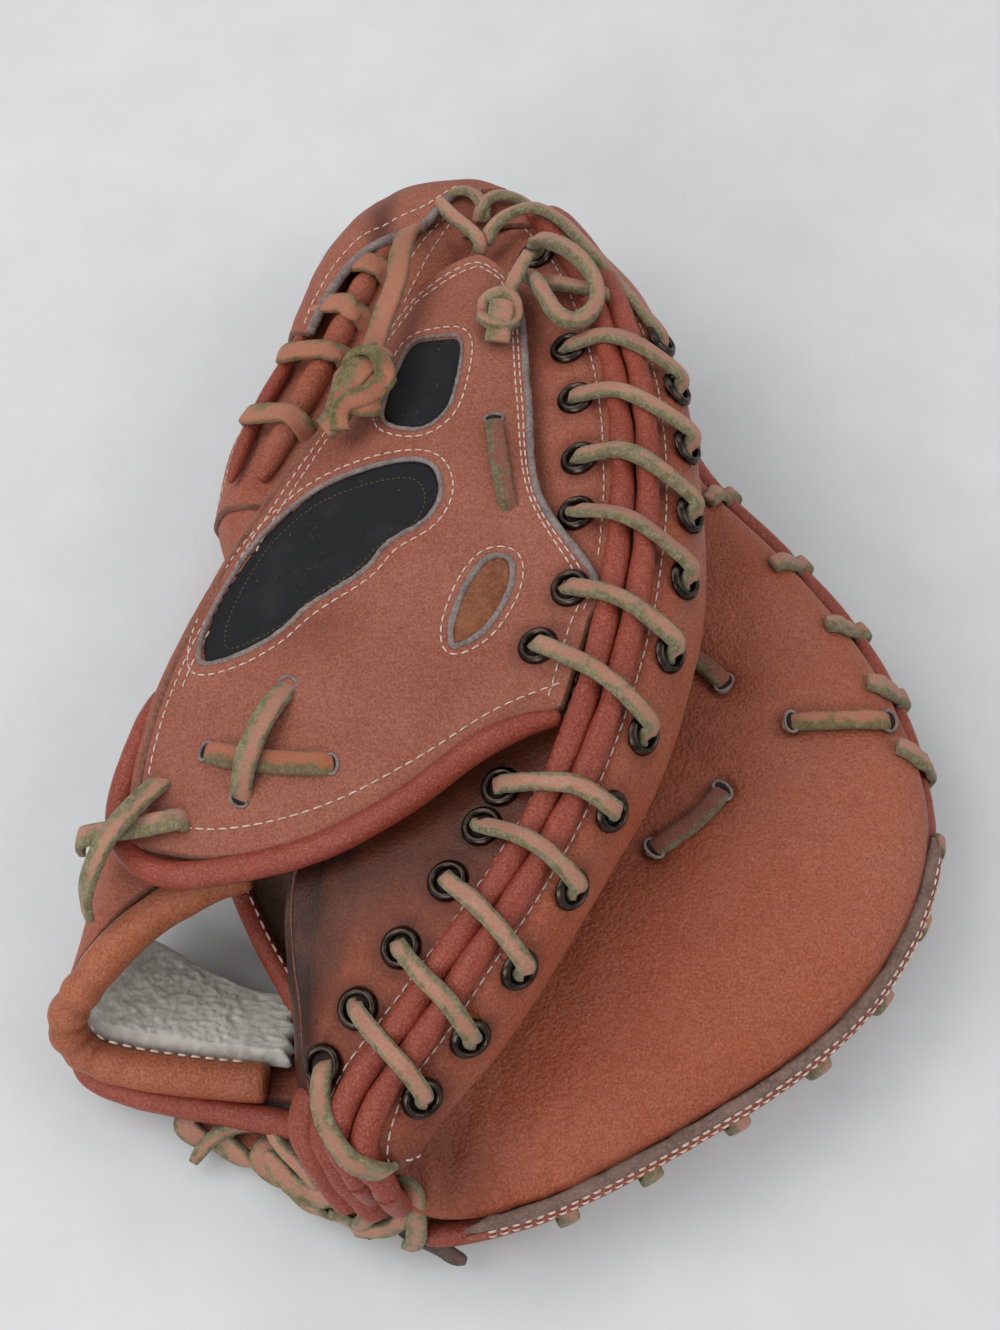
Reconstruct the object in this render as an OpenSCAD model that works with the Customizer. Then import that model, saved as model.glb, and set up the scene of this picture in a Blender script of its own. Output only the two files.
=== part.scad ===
// Catcher's mitt for the left hand, folded shut on a table.
// The finger half lies on its back, the thumb half is folded over it,
// and both halves turn about a fold line that runs from heel to web.
// +X points from the fold to the open rim, +Y from heel to toe, +Z up.

/* [Whole mitt] */
// Length from heel to web
mitt_len = 326; // [300:1:350]
// Width from the wrist strap to the rim of the finger half
mitt_wide = 246; // [230:1:262]
// Height of the folded mitt over the table
mitt_high = 92; // [86:1:98]

/* [Leather] */
// Thickness of the back leather
back_leather = 2.6; // [2.2:0.1:3]
// Thickness of the palm leather
palm_leather = 2.6; // [2.2:0.1:3]
// Thickness of the lining leather
lining_leather = 1.6; // [1.2:0.1:2]
// Clearance between two layers
layer_gap = 0.3; // [0.25:0.05:0.5]

/* [Binding] */
// Diameter of the two bindings on the thumb seam
seam_binding_d = 6.2; // [5:0.2:7]
// Diameter of the binding round the wrist opening
wrist_binding_d = 8.6; // [8:0.2:11]
// Diameter of the binding on the rim of the finger half
rim_binding_d = 6.6; // [5:0.2:8]
// Diameter of the rolled edge of the strap
strap_roll_d = 11; // [9:0.5:13]

/* [Lacing] */
// Width of the rawhide lace
lace_wide = 6.2; // [5:0.2:7]
// Thickness of the rawhide lace
lace_thick = 2.2; // [1.8:0.1:2.6]
// Outer diameter of an eyelet
eyelet_d = 11.2; // [10:0.2:12]
// Bore of an eyelet
eyelet_bore = 7.2; // [6.4:0.2:7.6]
// Height of an eyelet over the leather
eyelet_high = 1.6; // [1.2:0.1:2]
// Number of lace wraps on the rim of the finger half
rim_wraps = 15; // [12:1:18]

/* [Finger half] */
// Depth of the rim band of the finger half
rim_band = 12; // [10:0.5:14]
// Height of the padded roll over the rim
roll_high = 9; // [7:0.5:11]
// Height of the pocket floor over the table
pocket_floor = 34; // [31:0.5:36]
// Height of the finger space inside the finger half
finger_space = 11; // [9:0.5:12]

/* [Strap] */
// Thickness of the strap leather
strap_leather = 3; // [2.4:0.2:3.6]
// Thickness of the fleece inside the strap
fleece_thick = 6; // [4:0.5:7]

/* [Hidden] */

// Design size that the control points below are written for
kx = mitt_wide / 246;
ky = mitt_len / 326;
kz = mitt_high / 92;
function sized(list) = [for (p = list) [p[0] * kx, p[1] * ky, p[2] * kz]];

// ---- Curves and surfaces -------------------------------------------------
function bend(a, b, c, d, t) =
    0.5 * (2 * b + (c - a) * t + (2 * a - 5 * b + 4 * c - d) * t * t
        + (3 * b - a - 3 * c + d) * t * t * t);
function along(list, u) =
    let (n = len(list) - 1,
        s = min(max(u, 0), 1) * n,
        i = min(floor(s), n - 1),
        a = i > 0 ? list[i - 1] : 2 * list[0] - list[1],
        d = i + 2 <= n ? list[i + 2] : 2 * list[n] - list[n - 1])
    bend(a, list[i], list[i + 1], d, s - i);
function round_loop(list, u) =
    let (n = len(list), s = (u - floor(u)) * n, i = floor(s))
    bend(list[(i + n - 1) % n], list[i % n], list[(i + 1) % n], list[(i + 2) % n], s - i);
// A net is a list of rails that run from heel to tip; v goes across the rails
function surf(net, u, v) = along([for (rail = net) along(rail, u)], v);
function unit(a) = a / max(norm(a), 0.000001);
function face_dir(net, u, v) =
    let (e = 0.01,
        along_u = surf(net, min(u + e, 1), v) - surf(net, max(u - e, 0), v),
        along_v = surf(net, u, min(v + e, 1)) - surf(net, u, max(v - e, 0)))
    unit(cross(along_u, along_v));
// Point at height h over the net; side is 1 or -1, the face that h is measured from
function over(net, u, v, h, side) = surf(net, u, v) + side * h * face_dir(net, u, v);

// ---- Solids from rings ---------------------------------------------------
function volume(points, faces, i = 0, sum = 0) =
    i == len(faces) ? sum
    : volume(points, faces, i + 1, sum
        + points[faces[i][0]] * cross(points[faces[i][1]], points[faces[i][2]]));
function side_faces(rings, count, closed) =
    [for (i = [0 : (closed ? rings - 1 : rings - 2)], j = [0 : count - 1],
        half = [0, 1])
        let (k = (i + 1) % rings, m = (j + 1) % count)
        half == 0 ? [i * count + j, k * count + j, k * count + m]
        : [i * count + j, k * count + m, i * count + m]];
function strip_cap(start, count, turned) =
    [for (j = [0 : count / 2 - 2], half = [0, 1])
        let (a = start + j, b = start + j + 1,
            c = start + count - 2 - j, d = start + count - 1 - j,
            f = half == 0 ? [a, b, c] : [a, c, d])
        turned ? [f[2], f[1], f[0]] : f];
function fan_cap(start, count, hub, turned) =
    [for (j = [0 : count - 1])
        let (a = start + j, b = start + (j + 1) % count)
        turned ? [b, a, hub] : [a, b, hub]];
function mean(ring) = [for (k = [0 : 2]) [for (p = ring) p[k]] * [for (p = ring) 1] / len(ring)];
module solid(points, faces) {
    turned = volume(points, faces) > 0;
    polyhedron(points, turned ? [for (f = faces) [f[2], f[1], f[0]]] : faces, convexity = 8);
}
// Rings of equal count joined side to side; the ends close as strips
module loft(rings, closed = false) {
    count = len(rings[0]);
    n = len(rings);
    faces = concat(side_faces(n, count, closed),
        closed ? [] : strip_cap(0, count, false),
        closed ? [] : strip_cap((n - 1) * count, count, true));
    solid([for (ring = rings) each ring], faces);
}
// Rings of equal count whose two ends close on a hub point
module bowl(rings) {
    count = len(rings[0]);
    n = len(rings);
    hub = n * count;
    faces = concat(side_faces(n, count, false),
        fan_cap(0, count, hub, false),
        fan_cap((n - 1) * count, count, hub + 1, true));
    solid([for (ring = rings) each ring, mean(rings[0]), mean(rings[n - 1])], faces);
}
// Sheet of leather between heights low and high over a net
module sheet(net, us, vs, low, high, side) {
    m = len(vs) - 1;
    loft([for (u = us) [
        for (v = vs) over(net, u, v, high, side),
        for (j = [m : -1 : 0]) over(net, u, vs[j], low, side)]]);
}
function steps(a, b, n) = [for (i = [0 : n]) a + (b - a) * i / n];

// Tube swept along points; up is the direction that the flat side faces
function tangent(path, i) =
    unit(path[min(i + 1, len(path) - 1)] - path[max(i - 1, 0)]);
function across(path, ups, i) = unit(cross(tangent(path, i), ups[i]));
function lift(path, ups, i) = cross(across(path, ups, i), tangent(path, i));
module tube(path, d, sides = 8) {
    ups = [for (i = [0 : len(path) - 1])
        abs(tangent(path, i)[2]) > 0.9 ? [1, 0, 0] : [0, 0, 1]];
    loft([for (i = [0 : len(path) - 1]) [for (j = [0 : sides - 1])
        path[i] + d / 2 * (cos(360 * j / sides) * across(path, ups, i)
            + sin(360 * j / sides) * lift(path, ups, i))]]);
}
// Flat lace with chamfered edges; pinch narrows its two ends
module lace(path, ups, wide = lace_wide, thick = lace_thick, pinch = 1) {
    last = len(path) - 1;
    loft([for (i = [0 : last])
        let (w = wide / 2 * (i == 0 || i == last ? pinch : 1), t = thick / 2,
            x = across(path, ups, i), z = lift(path, ups, i))
        [for (c = [[-1, 0], [-0.7, 1], [0.7, 1], [1, 0], [0.7, -1], [-0.7, -1]])
            path[i] + c[0] * w * x + c[1] * t * z]]);
}
function same_up(path, up) = [for (p = path) up];

// ---- Thumb half: rails from heel to tip, fourteen stations each ------------
last_station = 13;
lining_left = sized([[-42, -141, 46], [-48, -131, 49], [-50, -122, 53], [-51, -110, 57],
    [-53, -97, 60], [-54, -83, 61], [-53, -66, 61], [-52, -40, 60], [-52, -8, 58],
    [-46, 28, 57], [-38, 66, 56], [-25, 104, 54], [-16, 134, 50], [-10, 145, 47]]);
lining_mid = sized([[-40, -144, 49], [-47, -134, 52], [-47, -125, 57], [-44, -112, 62],
    [-39, -98, 66], [-34, -83, 70], [-27, -64, 72], [-22, -38, 71], [-17, -6, 70],
    [-14, 30, 68], [-12, 68, 66], [-8, 106, 61], [-6, 136, 55], [-5, 148, 50]]);
back_hole_line = sized([[-38, -147, 51], [-45, -137, 54], [-44, -126, 58], [-35, -113, 64],
    [-24, -99, 70], [-12, -83, 75], [0, -62, 79], [9, -36, 83], [18, -5, 86],
    [23, 30, 84], [22, 70, 78], [16, 108, 70], [5, 138, 60], [0, 149, 52]]);
seam_line = sized([[-33, -151, 50], [-37, -145, 56], [-33, -134, 62], [-21, -119, 70],
    [-9, -103, 78], [4, -85, 83], [16, -64, 87], [26, -38, 90], [33, -8, 91],
    [37, 27, 89], [36, 66, 83], [29, 104, 74], [17, 137, 62], [8, 151, 52]]);
palm_hole_line = sized([[-28, -151, 48], [-25, -148, 54], [-20, -134, 60], [-8, -121, 68],
    [4, -106, 76], [17, -87, 81], [29, -64, 85], [39, -38, 87], [47, -10, 88],
    [51, 27, 86], [49, 66, 80], [40, 104, 71], [26, 134, 59], [15, 149, 50]]);
edge_line = sized([[-26, -150, 45], [-20, -145, 47], [-12, -135, 51], [1, -121, 56],
    [15, -100, 61], [29, -77, 64], [41, -56, 67], [50, -31, 69], [56, -3, 70],
    [57, 34, 68], [53, 74, 64], [44, 109, 57], [30, 136, 49], [18, 147, 45]]);
under_line = sized([[-30, -147, 43], [-25, -141, 42], [-18, -132, 44], [-8, -116, 46],
    [5, -96, 48], [18, -74, 50], [29, -54, 51], [37, -30, 52], [42, -3, 52],
    [42, 33, 51], [38, 72, 49], [31, 106, 46], [20, 132, 43], [12, 143, 42]]);
crease_line = sized([[-34, -143, 43], [-34, -136, 43], [-32, -124, 45], [-30, -106, 47],
    [-28, -84, 49], [-27, -62, 50], [-26, -40, 51], [-26, -18, 52], [-26, 4, 52],
    [-26, 32, 51], [-26, 66, 49], [-25, 98, 47], [-21, 126, 44], [-12, 140, 43]]);

back_net = [lining_left, lining_mid, back_hole_line, seam_line];
palm_net = [seam_line, palm_hole_line, edge_line, under_line, crease_line];
seam_net = [back_hole_line, seam_line, palm_hole_line];

// The lining drops under the back leather where the thumb stall starts
stall_start = 7;
stall_drop = back_leather + layer_gap + 0.6;
function dropped(rail) =
    [for (i = [0 : last_station]) rail[i] - [0, 0, i >= stall_start ? stall_drop
        : i == stall_start - 1 ? 0.6 * stall_drop : 0]];
lining_net = [for (rail = back_net) dropped(rail)];

// Thumb back panel: seven rows from the wrist edge to the tip of the lobe
panel_rows = [
    sized([[-98, -63, 58], [-74, -69.5, 64], [-49, -66.5, 71], [-26, -57.5, 78], [-4, -44.5, 83.5], [15.5, -40, 89.2]]),
    sized([[-97, -46, 60], [-71, -49, 68], [-44, -45, 76], [-19, -34, 81], [4, -22, 83.5], [22.5, -17, 90]]),
    sized([[-92, -20, 60], [-65, -22, 70], [-38, -15, 78], [-13, -5, 82.5], [8, -4, 84], [25.4, -4, 90]]),
    sized([[-81, 9, 60], [-56, 11, 70], [-28, 20, 78], [-9, 26, 82], [2, 27, 83.5], [10.5, 26, 84.5]]),
    sized([[-65, 42, 60], [-43, 49, 70], [-22, 56, 76], [-9, 59, 79], [0, 61, 80], [8, 62, 79.5]]),
    sized([[-49, 71, 59], [-33, 80, 68], [-17, 88, 74], [-7, 93, 76], [0, 95, 75], [6, 96, 74.5]]),
    sized([[-32, 106, 60], [-24, 112, 65], [-16, 116, 69], [-9, 118, 71], [-3, 119, 71.5], [1, 119, 71]])];
panel_net = [for (c = [0 : 5]) [for (row = panel_rows) row[c]]];
// The left edge of the panel turns down over the back hole
panel_turn = sized([[-100, -61, 53], [-99.5, -45, 53], [-95, -20, 52], [-84.5, 8, 54], [-67.5, 40, 57.5],
    [-51.5, 69, 56.5], [-34, 104, 57.5]]);
panel_full_net = concat([panel_turn], panel_net);

// Eyelet stations, counted along the rails from the heel
back_stations = [1, 2, 3, 4, 4.7, 5.16, 6.45, 7.15, 7.7, 8.2, 8.75, 9.25, 10.4];
palm_stations = [1, 1, 2, 3, 4, 4.85, 5.65, 6.5, 7.2, 7.75, 8.35, 8.9, 9.4];
// Two of the back eyelets go through the panel, at these shares of its net
panel_holes = [[0.15, 0.87], [0.32, 0.92]];
function station(k) = (k + 1) / last_station;

// ---- Finger half: rim point and rim height, counter-clockwise from the heel
pocket_mid = sized([[20, -10, 0]])[0];
rim = sized([[-20, -161, 22], [5, -158, 26], [28, -149, 29], [53, -136, 31], [78, -121, 33],
    [99, -103, 34], [114, -81, 34], [122, -57, 34], [121, -33, 33], [114, -9, 32],
    [102, 14, 31], [84, 38, 32], [62, 63, 34], [52, 85, 35], [43, 108, 34], [31, 129, 33],
    [13, 143, 31], [-8, 149, 30], [-33, 148, 30], [-54, 135, 30], [-70, 112, 29],
    [-80, 82, 28], [-85, 48, 27], [-87, 14, 26], [-86, -20, 25], [-81, -50, 24],
    [-70, -76, 22], [-58, -98, 20], [-51, -122, 19], [-38, -148, 19]]);
rim_points = 30;
// The first share of the rim is the open one, from the heel to the toe
open_end = 16 / rim_points;
flat_share = 0.45;
rim_drop = rim_band + 2.4;
palm_share = 0.98;
palm_left = -27 * kx;
lining_left_x = -42 * kx;
fold_z = 36 * kz;
function disc_point(u, s) =
    let (p = round_loop(rim, u)) [for (k = [0, 1]) pocket_mid[k] + s * (p[k] - pocket_mid[k])];
function reach(u) = let (p = round_loop(rim, u)) norm([p[0] - pocket_mid[0], p[1] - pocket_mid[1]]);
// Share of the way to the rim at which a layer stops, where x may not go below left
function stop_share(u, left) =
    let (x = round_loop(rim, u)[0])
    x < left ? (left - pocket_mid[0]) / (x - pocket_mid[0]) : 1;
// 1 on the open rim, 0 where the palm runs into the fold
function open_rim(u) = min(max((round_loop(rim, u)[0] - palm_left) / (22 * kx), 0), 1);
function back_z(u, s) =
    (round_loop(rim, u)[2] - rim_drop) * pow(max(0, (s - flat_share) / (1 - flat_share)), 2);
function palm_edge_z(u) = fold_z + (round_loop(rim, u)[2] - fold_z) * open_rim(u);
roll_at = 0.84;
// Height of the palm face; s is 1 on the edge of the palm leather
function palm_z(u, s) =
    let (edge = palm_edge_z(u), crest = edge + roll_high * open_rim(u),
        floor_z = pocket_floor * kz, t = min(s / roll_at, 1), ease = t * t * (3 - 2 * t),
        fall = max(0, (s - roll_at) / (1 - roll_at)))
    floor_z + (crest - floor_z) * ease - (crest - edge) * (1 - sqrt(max(0, 1 - fall * fall)));
function palm_plan(u, s) = disc_point(u, s * palm_share * stop_share(u, palm_left));
function space_z(u, s) =
    back_z(u, s) + back_leather + layer_gap + finger_space * max(0, 1 - pow(s / 0.9, 4));
function loop_steps(n) = [for (i = [0 : n - 1]) i / n];
disc_us = loop_steps(40);
pad_s = [0.12, 0.35, 0.55, 0.7, 0.8, 0.88, 0.94];
function reversed(list) = [for (i = [len(list) - 1 : -1 : 0]) list[i]];

module finger_back_shell() {
    outer_s = [flat_share, 0.56, 0.68, 0.8, 0.9, 1];
    all_s = concat(outer_s, reversed(outer_s));
    color("sienna") union() {
        loft([for (i = [0 : 11]) [for (u = disc_us)
            concat(disc_point(u, all_s[i]), back_z(u, all_s[i]) + (i < 6 ? 0 : back_leather))]],
            closed = true);
        linear_extrude(back_leather) polygon([for (u = disc_us) disc_point(u, flat_share)]);
    }
}
function lining_share(u, s) = s * stop_share(u, lining_left_x);
module finger_lining() {
    color("peru") bowl(concat(
        [for (s = pad_s) [for (u = disc_us) let (t = lining_share(u, s))
            concat(disc_point(u, t), space_z(u, t) + lining_leather)]],
        [for (s = reversed(pad_s)) [for (u = disc_us) let (t = lining_share(u, s))
            concat(disc_point(u, t), space_z(u, t))]]));
}
module finger_pad() {
    color("wheat") bowl(concat(
        [for (s = pad_s) [for (u = disc_us)
            concat(palm_plan(u, s), palm_z(u, s) - palm_leather - layer_gap - 0.2)]],
        [for (s = reversed(pad_s)) [for (u = disc_us)
            let (t = s * palm_share * stop_share(u, palm_left))
            concat(disc_point(u, t), space_z(u, t) + lining_leather + layer_gap + 0.3)]]));
}
module finger_palm_shell() {
    top_s = [0.12, 0.35, 0.55, 0.7, 0.8, 0.88, 0.94, 0.98, 1];
    low_s = [0.99, 0.96, 0.91, 0.86, 0.8, 0.7, 0.55, 0.35, 0.12];
    color("chocolate") bowl(concat(
        [for (s = top_s) [for (u = disc_us) concat(palm_plan(u, s), palm_z(u, s))]],
        [for (s = low_s) [for (u = disc_us) concat(palm_plan(u, s), palm_z(u, s) - palm_leather)]]));
}
function rim_out(u) =
    let (e = 0.004, t = round_loop(rim, u + e) - round_loop(rim, u - e))
    unit([t[1], -t[0], 0]);
function rim_point(u, out, down) = round_loop(rim, u) + out * rim_out(u) - [0, 0, down];
strip_deep = 4.4;
strip_thick = 2.2;
strip_in = -1.8;
module finger_rim_strip() {
    color("rosybrown") loft([for (u = steps(0.015, 0.235, 18)) [
        rim_point(u, strip_in, 0), rim_point(u, strip_in + strip_thick, 0.4),
        rim_point(u, strip_in + strip_thick, strip_deep), rim_point(u, strip_in, strip_deep)]]);
}
binding_drop = strip_deep + layer_gap + rim_binding_d / 2;
binding_out = -1.5;
module finger_rim_binding() {
    color("firebrick") tube([for (u = steps(0, open_end, 36)) rim_point(u, binding_out, binding_drop)],
        rim_binding_d);
}
function wrap_u(i) = 0.02 + (open_end - 0.04) * i / (rim_wraps + 1);
// Point in the gap under the back leather, in from the rim and down from its face
function under_back(u, in, gap) =
    let (s = 1 - in / reach(u)) concat(disc_point(u, s), back_z(u, s) - gap);
function under_back_dir(u, in) =
    let (d = 1, a = under_back(u, in - d, 0) - under_back(u, in + d, 0),
        b = under_back(u + 0.002, in, 0) - under_back(u - 0.002, in, 0))
    unit(cross(a, b)) * (cross(a, b)[2] > 0 ? -1 : 1);
function over_palm(u, in, gap) =
    let (s = (1 - in / reach(u)) / palm_share) concat(palm_plan(u, s), palm_z(u, s) + gap);
eyelet_in = 10;
// An eyelet is flat and the leather is crowned, so it stands clear by a little more
eyelet_seat = layer_gap + 0.5;
module finger_rim_lacing() {
    half = lace_thick / 2 + layer_gap;
    out_strip = strip_in + strip_thick + half;
    out_binding = binding_out + rim_binding_d / 2 + half + 0.3;
    color("darkkhaki") for (i = [1 : rim_wraps]) {
        u = wrap_u(i);
        o = rim_out(u);
        e = rim_hole(i);
        run = flat_to(e[0] - rim_point(u, 0, rim_drop), e[1]);
        path = [over_palm(u, 9, half + 0.4), over_palm(u, 5, half + 0.9), rim_point(u, -2.2, -6.2),
            rim_point(u, out_strip + 0.3, -0.6), rim_point(u, out_strip + 0.4, 4),
            rim_point(u, out_binding, binding_drop), rim_point(u, 2.7, rim_drop + 0.2),
            under_back(u, 1, 3.6), e[0] - 4.6 * run + 4.4 * e[1], e[0] - 0.8 * run + 3.5 * e[1],
            e[0] + 1.2 * run + 1.2 * e[1]];
        lace(path, [o + [0, 0, 3], o + [0, 0, 2.2], o + [0, 0, 1.2], o + [0, 0, 0.5], o, o, o - [0, 0, 0.7],
            o - [0, 0, 2], e[1], e[1], e[1]], wide = lace_wide - 0.4, pinch = 0.8);
    }
}
// [seat, direction] of an eyelet under the rim of the finger half
function rim_hole(i) =
    [under_back(wrap_u(i), eyelet_in, eyelet_seat), under_back_dir(wrap_u(i), eyelet_in)];
module finger_eyelets() {
    color("#3a2a20") for (i = [1 : rim_wraps]) eyelet_at(rim_hole(i)[0], rim_hole(i)[1]);
}
// A short length of lace that lies on the palm; each end is [share of the rim, share outwards]
module palm_stitch(a, b) {
    ts = [0, 0.12, 0.35, 0.65, 0.88, 1];
    path = [for (t = ts) let (q = a + (b - a) * t)
        concat(palm_plan(q[0], q[1]), palm_z(q[0], q[1]) + lace_thick / 2 + 0.4 + 0.6 * sin(180 * t))];
    lace(path, same_up(path, [0, 0, 1]));
}
module pocket_laces() {
    color("salmon") {
        palm_stitch([0.335, 0.43], [0.3, 0.485]);
        palm_stitch([0.125, 0.445], [0.197, 0.465]);
        palm_stitch([0.27, 0.64], [0.28, 0.94]);
    }
}
module finger_wrist_binding() {
    d = wrist_binding_d - 2;
    color("firebrick") tube([for (u = steps(0.82, 0.94, 12))
        rim_point(u, -1, rim_drop - back_leather - 0.4 - d / 2)], d);
}
heel_inner = sized([[-94, -121, 3], [-80, -124, 3], [-66, -128, 3.2], [-54, -139, 5], [-42, -153, 8]]);
heel_outer = sized([[-88, -129, 4], [-75, -134, 4.5], [-61, -141, 5.5], [-49, -150, 8], [-35, -161, 11]]);
module heel_strip() {
    color("sienna") sheet([heel_inner, heel_outer], steps(0, 1, 12), [0, 0.5, 1], -back_leather, 0, 1);
}
module heel_lacing() {
    color("darkkhaki") for (t = [0.06, 0.21, 0.36, 0.51, 0.66, 0.86]) {
        p = along(heel_outer, t);
        edge = along(heel_outer, t + 0.02) - along(heel_outer, t - 0.02);
        out = unit(cross(edge, [0, 0, 1]));
        side = out[1] < 0 ? out : -out;
        over_strip = back_leather + layer_gap + lace_thick / 2 + 0.2;
        path = [p - 1.6 * side + [0, 0, over_strip], p + 0.4 * side + [0, 0, over_strip - 0.2],
            p + 2.5 * side + [0, 0, 1], p + 0.7 * side - [0, 0, 2],
            (p + along(heel_inner, t)) / 2 - [0, 0, 2]];
        lace(path, [[0, 0, 1], [0, 0, 1] + 0.4 * side, side, -[0, 0, 1] + 0.4 * side, [0, 0, -1]]);
    }
}
module heel_lace_tail() {
    path = sized([[-35.5, -159.5, 15.3], [-29, -165.5, 13], [-21, -168, 10], [-11, -168, 8.5], [-4, -166, 8]]);
    color("darkkhaki") lace([for (t = steps(0, 1, 8)) along(path, t)],
        [for (i = [0 : 8]) [0, -0.6, 1]]);
}

// ---- Thumb half -----------------------------------------------------------
// The leathers stop where the two seam bindings start
seam_half = seam_binding_d / 2 + 0.25;
seam_reach = 2 * seam_half + layer_gap + 1.4;
function back_stop(u) = 1 - seam_reach / norm(along(seam_line, u) - along(back_hole_line, u)) / 3;
function palm_start(u) = seam_reach / norm(along(seam_line, u) - along(palm_hole_line, u)) / 4;
thumb_us = concat(steps(0, 0.12, 4), steps(0.17, 0.88, 16), steps(0.91, 1, 4));
function back_vs(u, first) = steps(first, back_stop(u), 6);
function palm_vs(u) = steps(palm_start(u), 1, 10);
// Sheet whose shares across the net change along it
module fitted_sheet(net, us, low, high, side, vs) {
    m = len(vs(us[0])) - 1;
    loft([for (u = us) let (v = vs(u)) [
        for (j = [0 : m]) over(net, u, v[j], high, side),
        for (j = [m : -1 : 0]) over(net, u, v[j], low, side)]]);
}
module thumb_palm_shell() {
    color("chocolate") fitted_sheet(palm_net, thumb_us, -palm_leather, 0, -1, function (u) palm_vs(u));
}
module thumb_heel_lining() {
    color("saddlebrown") fitted_sheet(lining_net, [for (i = [1 : 20]) thumb_us[i]], -lining_leather, 0, -1,
        function (u) back_vs(u, 0));
}
module thumb_back_band() {
    band_start = station(7.45);
    color("sienna") fitted_sheet(back_net,
        concat([band_start], [for (u = thumb_us) if (u > band_start + 0.02) u]),
        -back_leather, 0, -1, function (u) back_vs(u, 0.2));
}
module thumb_pad() {
    inside = layer_gap + 0.3;
    color("wheat") loft([for (i = [2 : 21]) let (u = thumb_us[i], low_v = palm_vs(u)) concat(
        [for (v = steps(0.1, back_stop(u), 6)) over(lining_net, u, v, -lining_leather - inside, -1)],
        [for (v = low_v) over(palm_net, u, v, -palm_leather - inside, -1)])]);
}
module thumb_back_panel() {
    color("rosybrown") sheet(panel_full_net, steps(0, 1, 18),
        concat([0, 0.09], steps(1 / 6, 1, 12)), -back_leather, 0, -1);
}
function seam_point(u, offset, h) =
    let (span = norm(along(palm_hole_line, u) - along(back_hole_line, u)))
    over(seam_net, u, 0.5 + offset / span, h, -1);
seam_us = steps(0.045, station(11.6), 28);
module back_edge_binding() {
    color("firebrick") tube([for (u = seam_us) seam_point(u, -seam_half, 1)], seam_binding_d);
}
module palm_edge_binding() {
    color("firebrick") tube([for (u = seam_us) seam_point(u, seam_half, 1)], seam_binding_d);
}
module wrist_opening_binding() {
    path = sized([[-101, -18, 54], [-104, -40, 53], [-106, -56, 52], [-102, -70, 52], [-89, -76, 55],
        [-74, -76, 60], [-49, -73, 68.5], [-26, -64, 77.5], [-6, -50.8, 83.8], [7, -46, 89.4]]);
    color("firebrick") tube([for (t = steps(0, 1, 26)) along(path, t)], wrist_binding_d);
}
module eyelet_at(p, dir) {
    ring = (eyelet_d - eyelet_bore) / 4;
    translate(p) rotate([0, acos(dir[2]), atan2(dir[1], dir[0])])
        rotate_extrude() translate([eyelet_bore / 2, 0]) union() {
            square([2 * ring, eyelet_high / 2]);
            translate([ring, eyelet_high / 2]) intersection() {
                circle(ring, $fn = 24);
                translate([-ring, -eyelet_high / 2]) square([2 * ring, eyelet_high]);
            }
        }
}
// [seat, direction] of a back eyelet: on the lining, the panel or the band
function back_hole(i) =
    let (u = station(back_stations[i]), w = panel_holes[i - 6])
    i < 6 ? [over(lining_net, u, 0.65, eyelet_seat, -1), -face_dir(lining_net, u, 0.65)]
    : i < 8 ? [over(panel_net, w[0], w[1], eyelet_seat, -1), -face_dir(panel_net, w[0], w[1])]
    : [over(back_net, u, 0.655, eyelet_seat, -1), -face_dir(back_net, u, 0.655)];
function palm_hole(i) =
    let (u = station(palm_stations[i]))
    [over(palm_net, u, 0.258, eyelet_seat, -1), -face_dir(palm_net, u, 0.258)];
module back_eyelets() {
    color("#3a2a20") for (i = [0 : 12]) eyelet_at(back_hole(i)[0], back_hole(i)[1]);
}
module palm_eyelets() {
    color("#3a2a20") for (i = [1 : 12]) eyelet_at(palm_hole(i)[0], palm_hole(i)[1]);
}
function flat_to(v, n) = unit(v - (v * n) * n);
module thumb_lacing() {
    color("darkkhaki") for (i = [1 : 11]) {
        a = back_hole(i);
        b = palm_hole(i);
        ra = flat_to(b[0] - a[0], a[1]);
        rb = flat_to(b[0] - a[0], b[1]);
        ua = station(back_stations[i]);
        ub = station(palm_stations[i]);
        rise = 1 + seam_binding_d / 2 + layer_gap + lace_thick / 2 + 0.6;
        path = [a[0] - 1.2 * ra + 1.2 * a[1], a[0] + 0.8 * ra + 3.7 * a[1], a[0] + 4.2 * ra + 4.8 * a[1],
            seam_point(ua * 0.64 + ub * 0.36, -seam_half, rise), seam_point(ua * 0.36 + ub * 0.64, seam_half, rise),
            b[0] - 4.2 * rb + 4.8 * b[1], b[0] - 0.8 * rb + 3.7 * b[1], b[0] + 1.2 * rb + 1.2 * b[1]];
        lace(path, [a[1], a[1], a[1], a[1] + b[1], a[1] + b[1], b[1], b[1], b[1]], pinch = 0.8);
    }
}
module tip_lace_loop() {
    path = sized([[8, 119, 71.5], [12, 121, 77], [24, 117, 81], [32, 108, 82], [33, 96, 85],
        [27, 86, 85.2], [19, 83, 85.2], [13, 90, 83.4], [12, 99, 81.5]]);
    color("darkkhaki") lace([for (t = steps(0, 1, 18)) along(path, t)],
        [for (i = [0 : 18]) [0.3, -0.2, 1]]);
}
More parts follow.
